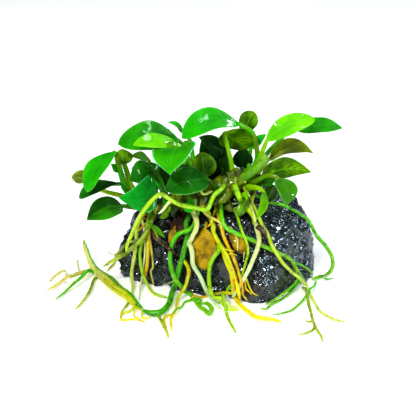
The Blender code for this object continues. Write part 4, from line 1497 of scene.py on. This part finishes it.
@dataclass
class RootSystem:
    """All the roots that have solids, and the fine ones among them."""

    roots: dict[str, Root] = field(default_factory=lambda: {
        "root_left_pale": Root("rhizome", (1.2, 0.8), [
            (150, 206, -6), (146, 216), (141, 226), (139, 241), (137, 256), (134, 273), (133, 286), (132, 295)],
            RootTone.PALE),
        "root_left_amber": Root("rhizome", (1.1, 0.8), [
            (156, 205, -7), (153, 218), (151, 234), (150, 250), (149, 263), (147, 273), (145, 281), (139, 287)],
            RootTone.AMBER),
        "root_left_lime": Root("rhizome", (0.9, 0.7), [
            (152, 206, -7), (150, 222), (147, 234), (143, 246), (142, 256), (144, 272), (148, 281), (150, 289),
            (155, 294), (169, 298)], RootTone.LIME),
        "root_left_arm": Root("rhizome", (1.1, 0.9), [
            (158, 205, -8), (154, 221), (148, 234), (142, 241), (135, 246), (128, 253), (120, 257, -12),
            (112, 261, -14), (103, 267, -16)], RootTone.OLIVE),
        "root_deep_green": Root("rhizome", (1.3, 1.5), [
            (194, 200, -9), (192, 214), (188, 226), (187, 240), (184, 256), (180, 270), (177, 283), (175, 291),
            (171, 301), (165, 309), (158, 313), (150, 313), (143, 310)], RootTone.DEEP),
        "root_mat": Root("root_deep_green", (1.4, 2.5, 2.8, 2.9, 2.1, 1.2, 1.4), [
            (141, 309), (130, 300), (120, 293), (109, 283), (97, 273, -1), (90, 260, 4), (83, 240, 14)],
            RootTone.MAT, strands=9),
        "root_mat_fork_yellow": Root("root_mat", (1.2, 0.6), [
            (94, 270, 1), (88, 271, -2), (80, 273, -6), (72, 276, -10), (67, 277, -14), (62, 281), (53, 287), (46, 291)],
            RootTone.TAN),
        "root_mat_fork_green": Root("root_mat", (0.9, 0.5), [
            (95, 273, -1), (88, 275, -5), (77, 281, -12), (66, 291), (55, 300)], RootTone.GREEN),
        "root_mat_fork_low": Root("root_mat", (0.9, 0.5), [
            (98, 276, -2), (94, 281, -7), (91, 288), (88, 294), (82, 302), (75, 310)], RootTone.OLIVE),
        "root_green_arc": Root("rhizome", (1.1, 1.1), [
            (199, 199, -9), (198, 215), (195, 226), (189, 230), (181, 233), (175, 240), (172, 250), (172, 262),
            (176, 276), (183, 285), (190, 292), (195, 300), (200, 307), (205, 310), (209, 314), (212, 309),
            (207, 303), (202, 304)], RootTone.GREEN),
        "root_yellow_strand": Root("root_deep_green", (1.0, 0.6), [
            (184, 258), (190, 268), (189, 278), (186, 286), (178, 298), (176, 309), (171, 319), (172, 331)],
            RootTone.YELLOW),
        "root_white_middle": Root("rhizome", (1.3, 1.0), [
            (196, 199, -10), (193, 208, -13), (194, 215), (198, 224), (198, 234), (192, 240), (193, 248),
            (195, 258), (199, 269), (203, 279), (209, 291), (214, 301), (220, 309)], RootTone.MINT),
        "root_amber": Root("rhizome", (1.1, 0.8), [
            (214, 193, -9), (215, 204), (217, 213), (220, 222), (223, 232), (226, 241), (230, 249), (234, 258),
            (239, 270)], RootTone.AMBER),
        "root_thick_yellow": Root("rhizome", (1.2, 1.0), [
            (206, 198, -9), (206, 214), (209, 227), (214, 236), (219, 243), (224, 251), (228, 263), (232, 271),
            (234, 283), (235, 293), (238, 301), (242, 307), (249, 312), (256, 317), (271, 319), (282, 322)],
            RootTone.YELLOW),
        "root_bright_branch": Root("root_thick_yellow", (1.1, 0.9), [
            (218, 245), (215, 255), (211, 263), (210, 275), (211, 286), (214, 295), (220, 303), (227, 309),
            (239, 310)], RootTone.LIME),
        "root_lime_tip": Root("root_thick_yellow", (0.8, 0.7), [
            (231, 284), (226, 293), (223, 300), (223, 307), (227, 316), (231, 324), (236, 333)], RootTone.LIME),
        "root_tan": Root("rhizome", (0.9, 0.7), [
            (202, 199, -11), (203, 210, -15), (211, 219), (221, 224), (228, 229), (233, 234), (237, 241),
            (238, 250)], RootTone.TAN),
        "root_long_right": Root("rhizome", (1.1, 1.0), [
            (218, 192, -8), (221, 208), (222, 220), (226, 228), (236, 233), (245, 237), (253, 241), (261, 246),
            (270, 250), (278, 254), (287, 259), (292, 266), (296, 274), (302, 280)], RootTone.GREEN),
        "root_lime_thin": Root("rhizome", (0.7, 0.6), [
            (227, 189, -6), (229, 203), (233, 210), (237, 217), (240, 226), (244, 237), (246, 249), (245, 266),
            (241, 279)], RootTone.LIME),
        "root_pale_right": Root("rhizome", (1.0, 0.7), [
            (244, 186, -3), (250, 202), (256, 215), (262, 228), (267, 235), (269, 242), (275, 253), (281, 264),
            (289, 272), (296, 277), (303, 284), (309, 292), (316, 305), (321, 312), (333, 319), (346, 322)],
            RootTone.PALE),
        "root_lime_thick": Root("rhizome", (1.4, 1.3), [
            (234, 183, -3), (236, 189, -8), (239, 197, -11), (242, 205), (247, 211), (252, 218), (254, 226)],
            RootTone.LIME),
        "root_white_right": Root("root_lime_thick", (1.2, 0.9), [
            (254, 224), (257, 234), (258, 242), (256, 251), (253, 260), (249, 270), (244, 279), (239, 288),
            (233, 295)], RootTone.MINT),
        "root_right_loop": Root("rhizome", (0.7, 1.1), [
            (247, 189, 1), (257, 198), (268, 204), (280, 206), (291, 211), (305, 221), (317, 236, -6),
            (328, 249, -8), (333, 262, -12), (330, 272, -18), (321, 278), (308, 280)], RootTone.GREEN),
        "root_thin_arc": Root("root_right_loop", (0.6, 0.5), [
            (316, 281), (313, 289), (308, 296), (301, 302), (292, 310), (283, 313), (272, 315)], RootTone.GREEN),
        "root_far_tip": Root("root_pale_right", (0.8, 0.6), [
            (303, 287), (306, 297), (310, 309), (313, 321), (317, 330), (321, 336), (323, 342)], RootTone.OLIVE),
        "root_over_leaves": Root("rhizome", (1.1, 0.9), [
            (224, 183, -2), (223, 188, -10), (215, 194, -13), (211, 202, -17), (207, 210, -20), (197, 208, -22),
            (181, 205, -24), (171, 200, -26), (162, 194, -27), (155, 197, -27), (148, 205, -27), (142, 213, -25),
            (137, 222, -21), (132, 234, -16), (128, 243, -12), (126, 252, -10)], RootTone.LIME),
    })

    thin: dict[RootTone, list[tuple[str, tuple[float, float], list[Place]]]] = field(default_factory=lambda: {
        RootTone.MINT: [
            ("root_over_leaves", (0.8, 0.55), [(171, 200), (166, 206, -26), (162, 211, -25), (158, 214, -24)]),
            ("root_left_pale", (0.6, 0.5), [(144, 218), (146, 235), (146, 252), (144.5, 265), (143, 275),
                                            (140, 293), (139, 301.5)]),
            ("root_lime_thin", (0.6, 0.45), [(229, 203), (233, 205), (239, 204)]),
            ("root_lime_thin", (0.5, 0.4), [(233, 210), (235, 209), (239.5, 207)]),
        ],
        RootTone.TAN: [
            ("root_left_amber", (0.7, 0.5), [(151, 234), (152.7, 252), (154, 267), (151.6, 270), (154.7, 285)]),
            ("root_tan", (0.6, 0.4), [(237, 241), (240, 238), (243, 248), (244, 260)]),
            ("root_mat_fork_yellow", (0.7, 0.5), [(67, 277), (65, 271), (59, 273), (51.5, 279), (50, 283)]),
            ("root_mat_fork_yellow", (0.6, 0.35), [(80, 273), (78, 266), (77.6, 259)]),
        ],
        RootTone.YELLOW: [
            ("root_mat", (0.7, 0.45), [(136, 306), (130, 311), (122.5, 314), (121.5, 320), (136, 319), (146.5, 323)]),
            ("root_mat", (0.5, 0.4), [(134, 306), (134, 314), (134, 317), (140, 320)]),
            ("root_deep_green", (0.6, 0.4), [(143, 310), (142, 318), (149, 318), (151.6, 317)]),
            ("root_thick_yellow", (0.6, 0.35), [(221.6, 246), (228, 250), (235, 251)]),
            ("root_thick_yellow", (0.5, 0.3), [(228, 256), (231, 253), (237, 255.5)]),
            ("root_thick_yellow", (0.7, 0.4), [(235, 289), (239, 289), (248, 300)]),
            ("root_white_right", (0.6, 0.4), [(246, 276), (246, 288), (250, 291), (252, 294)]),
            ("root_white_right", (0.5, 0.35), [(246, 276), (252, 291), (258, 295)]),
            ("root_amber", (0.6, 0.4), [(215, 208), (211, 222), (202, 228.5)]),
            ("root_thick_yellow", (1.1, 0.8), [(219, 243), (226, 253), (231, 264), (236, 277), (239, 290), (241, 301)]),
            ("root_lime_thick", (0.7, 0.5), [(252, 218), (253, 224), (256, 228)]),
        ],
        RootTone.AMBER: [
            ("root_left_lime", (0.5, 0.4), [(150, 222), (148.6, 215), (147.6, 220), (143.5, 218)]),
            ("root_amber", (0.9, 0.6), [(231, 251), (236, 262), (240, 275), (243, 287), (244, 296)]),
            ("root_left_lime", (0.5, 0.35), [(149, 224), (146.5, 224), (137, 235)]),
            ("root_thick_yellow", (0.8, 0.5), [(232, 293), (220, 292), (208, 295), (200, 298), (190, 302)]),
            ("root_yellow_strand", (0.7, 0.6), [(170, 313), (164, 318), (168.5, 338)]),
        ],
        RootTone.BROWN: [
            ("root_left_amber", (1.1, 0.8), [(152, 226), (157, 238), (165, 244), (177, 254)]),
            ("root_white_right", (1.5, 1.1), [(254, 226), (258, 228), (262, 232), (266, 239)]),
        ],
        RootTone.OLIVE: [
            ("root_left_arm", (0.9, 0.6), [(142, 241), (130, 243), (120, 253), (115, 263), (107, 271)]),
            ("root_left_arm", (0.5, 0.35), [(128, 253), (117.5, 255), (107, 252)]),
            ("root_left_arm", (0.5, 0.4), [(148, 234), (151, 226), (160, 240)]),
            ("root_mat", (0.7, 0.5), [(128, 301), (126, 306), (120, 314)]),
            ("root_deep_green", (0.8, 0.6), [(158, 313), (158.8, 316), (163, 326), (168.5, 338)]),
            ("rhizome", (0.8, 0.6), [(251, 185, -4), (254, 193), (252, 202), (250, 208)]),
            ("root_far_tip", (0.6, 0.35), [(314, 323), (314, 329), (306, 333), (297, 335)]),
            ("root_far_tip", (0.5, 0.3), [(313, 321), (308, 322), (304, 319)]),
        ],
        RootTone.GREEN: [
            ("root_green_arc", (0.7, 0.5), [(200, 307), (200, 299), (186, 301.5), (181, 308), (172, 318)]),
            ("root_green_arc", (0.6, 0.4), [(176, 276), (175, 280), (166, 284)]),
            ("root_right_loop", (0.6, 0.3), [(323, 277), (326, 279), (335, 278)]),
            ("root_long_right", (0.7, 0.5), [(288, 260), (292, 262), (300, 265), (309, 271), (312, 278)]),
            ("root_long_right", (0.8, 0.5), [(298, 277), (294, 282), (289, 287), (277, 296), (265, 304)]),
            ("root_long_right", (0.8, 0.5), [(299, 279), (294, 286), (283, 297), (271, 305), (266, 309), (260, 308)]),
        ],
        RootTone.PALE: [
            ("rhizome", (0.9, 0.7), [(244.6, 182, -5), (245.6, 193), (246.6, 202), (251, 209), (255, 224)]),
            ("root_pale_right", (0.6, 0.4), [(266, 233), (267.5, 236), (274, 240)]),
            ("rhizome", (0.7, 0.6), [(197, 190, -12), (199, 186, -17), (202, 194, -18), (205, 194, -17), (213, 193, -12)]),
            ("root_white_middle", (0.8, 0.5), [(217, 304), (220, 305), (225, 310), (239, 310)]),
        ],
    })

    def build(self, ground: Ground) -> None:
        """Builds the roots in the order they lie, and then the thin ones among them.

        Args:
            ground: what they lie on.
        """
        for name, root in self.roots.items():
            growth = Growth()
            root.grow(growth, ground, name, 12)
            tone = root.tone
            growth.piece("fine_" + name, FINISHES.get("root_" + tone.name.lower(), tone.value), (name,))
        for tone, rows in self.thin.items():
            growth = Growth()
            for number, (source, radii, places) in enumerate(rows):
                Root(source, radii, places, tone).grow_fine(growth, ground, f"thin_{tone.name}_{number}")
            label = tone.name.lower()
            growth.piece("thin_roots_" + label, FINISHES.get("root_" + label, tone.value))


# Studio


@dataclass
class Studio:
    """The pale floor and the soft lights."""

    floor_size: float = 12.0
    lights: tuple[tuple[str, Place, Place, float, float, Colour], ...] = (
        ("key", (-0.35, -0.8, 0.85), (0, 0, 0.04), 0.16, 9.0, (1.0, 0.99, 0.95)),
        ("fill", (0.85, -0.55, 0.5), (0, 0, 0.03), 0.12, 2.6, (0.72, 0.87, 1.0)),
        ("top", (0.1, 0.1, 1.0), (0, 0, 0.04), 0.3, 4.2, (0.9, 0.97, 1.0)),
    )

    glints: tuple[tuple[str, Place, Place, float, float, Colour], ...] = (
        ("glint_left", (-0.9, -0.75, 0.35), (0, 0, 0.03), 0.22, 4.0, (0.6, 0.84, 1.0)),
        ("glint_right", (0.75, -0.9, 0.2), (0, 0, 0.02), 0.22, 4.5, (0.6, 0.84, 1.0)),
        ("glint_side", (1.0, -0.35, 0.35), (0, 0, 0.02), 0.25, 5.0, (0.6, 0.84, 1.0)),
        ("glint_high", (0.3, -0.55, 1.0), (0, 0, 0.03), 0.22, 4.0, (0.85, 0.95, 1.0)),
        ("glint_back", (0.5, 0.75, 0.6), (0, 0, 0.04), 0.25, 4.0, (0.9, 1.0, 1.0)),
    )

    def hang(self, lamp: tuple[str, Place, Place, float, float, Colour], in_gloss_only: bool = False) -> None:
        """Hangs a round soft light.

        Args:
            lamp: its name, place, target, width, power and colour.
            in_gloss_only: whether only wet surfaces show it.
        """
        name, place, target, size, power, colour = lamp
        light = bpy.data.lights.new(name, "AREA")
        light.shape, light.size, light.energy, light.color = "DISK", size, power, colour
        holder = bpy.data.objects.new(name, light)
        holder.location = place
        holder.rotation_euler = (Vector(target) - Vector(place)).to_track_quat("-Z", "Y").to_euler()
        holder.visible_diffuse = not in_gloss_only
        bpy.context.scene.collection.objects.link(holder)

    def build(self) -> None:
        """Builds the floor, the lights and the pale surroundings."""
        bm = bmesh.new()
        bmesh.ops.create_grid(bm, x_segments=1, y_segments=1, size=self.floor_size / 2)
        mesh = bpy.data.meshes.new("floor")
        bm.to_mesh(mesh)
        bm.free()
        mesh.materials.append(FINISHES.get("pale_floor", FloorFinish()))
        floor = bpy.data.objects.new("floor", mesh)
        bpy.context.scene.collection.objects.link(floor)
        for lamp in self.lights:
            self.hang(lamp)
        for lamp in self.glints:
            self.hang(lamp, in_gloss_only=True)
        world = bpy.data.worlds.new("pale_room")
        world.use_nodes = True
        background = world.node_tree.nodes["Background"]
        background.inputs["Color"].default_value = (1, 1, 1, 1)
        background.inputs["Strength"].default_value = 0.22
        bpy.context.scene.world = world


def main() -> None:
    """Builds every piece in order, then the studio and the camera."""
    logging.basicConfig(level=logging.INFO, format="%(name)s %(message)s")
    VIEW.place_camera()
    Studio().build()
    Stone().build()
    ground = Ground()
    Rhizome().build(ground)
    Foliage().build()
    OldLeaves().build(ground)
    RootSystem().build(ground)


if __name__ == "__main__":
    main()
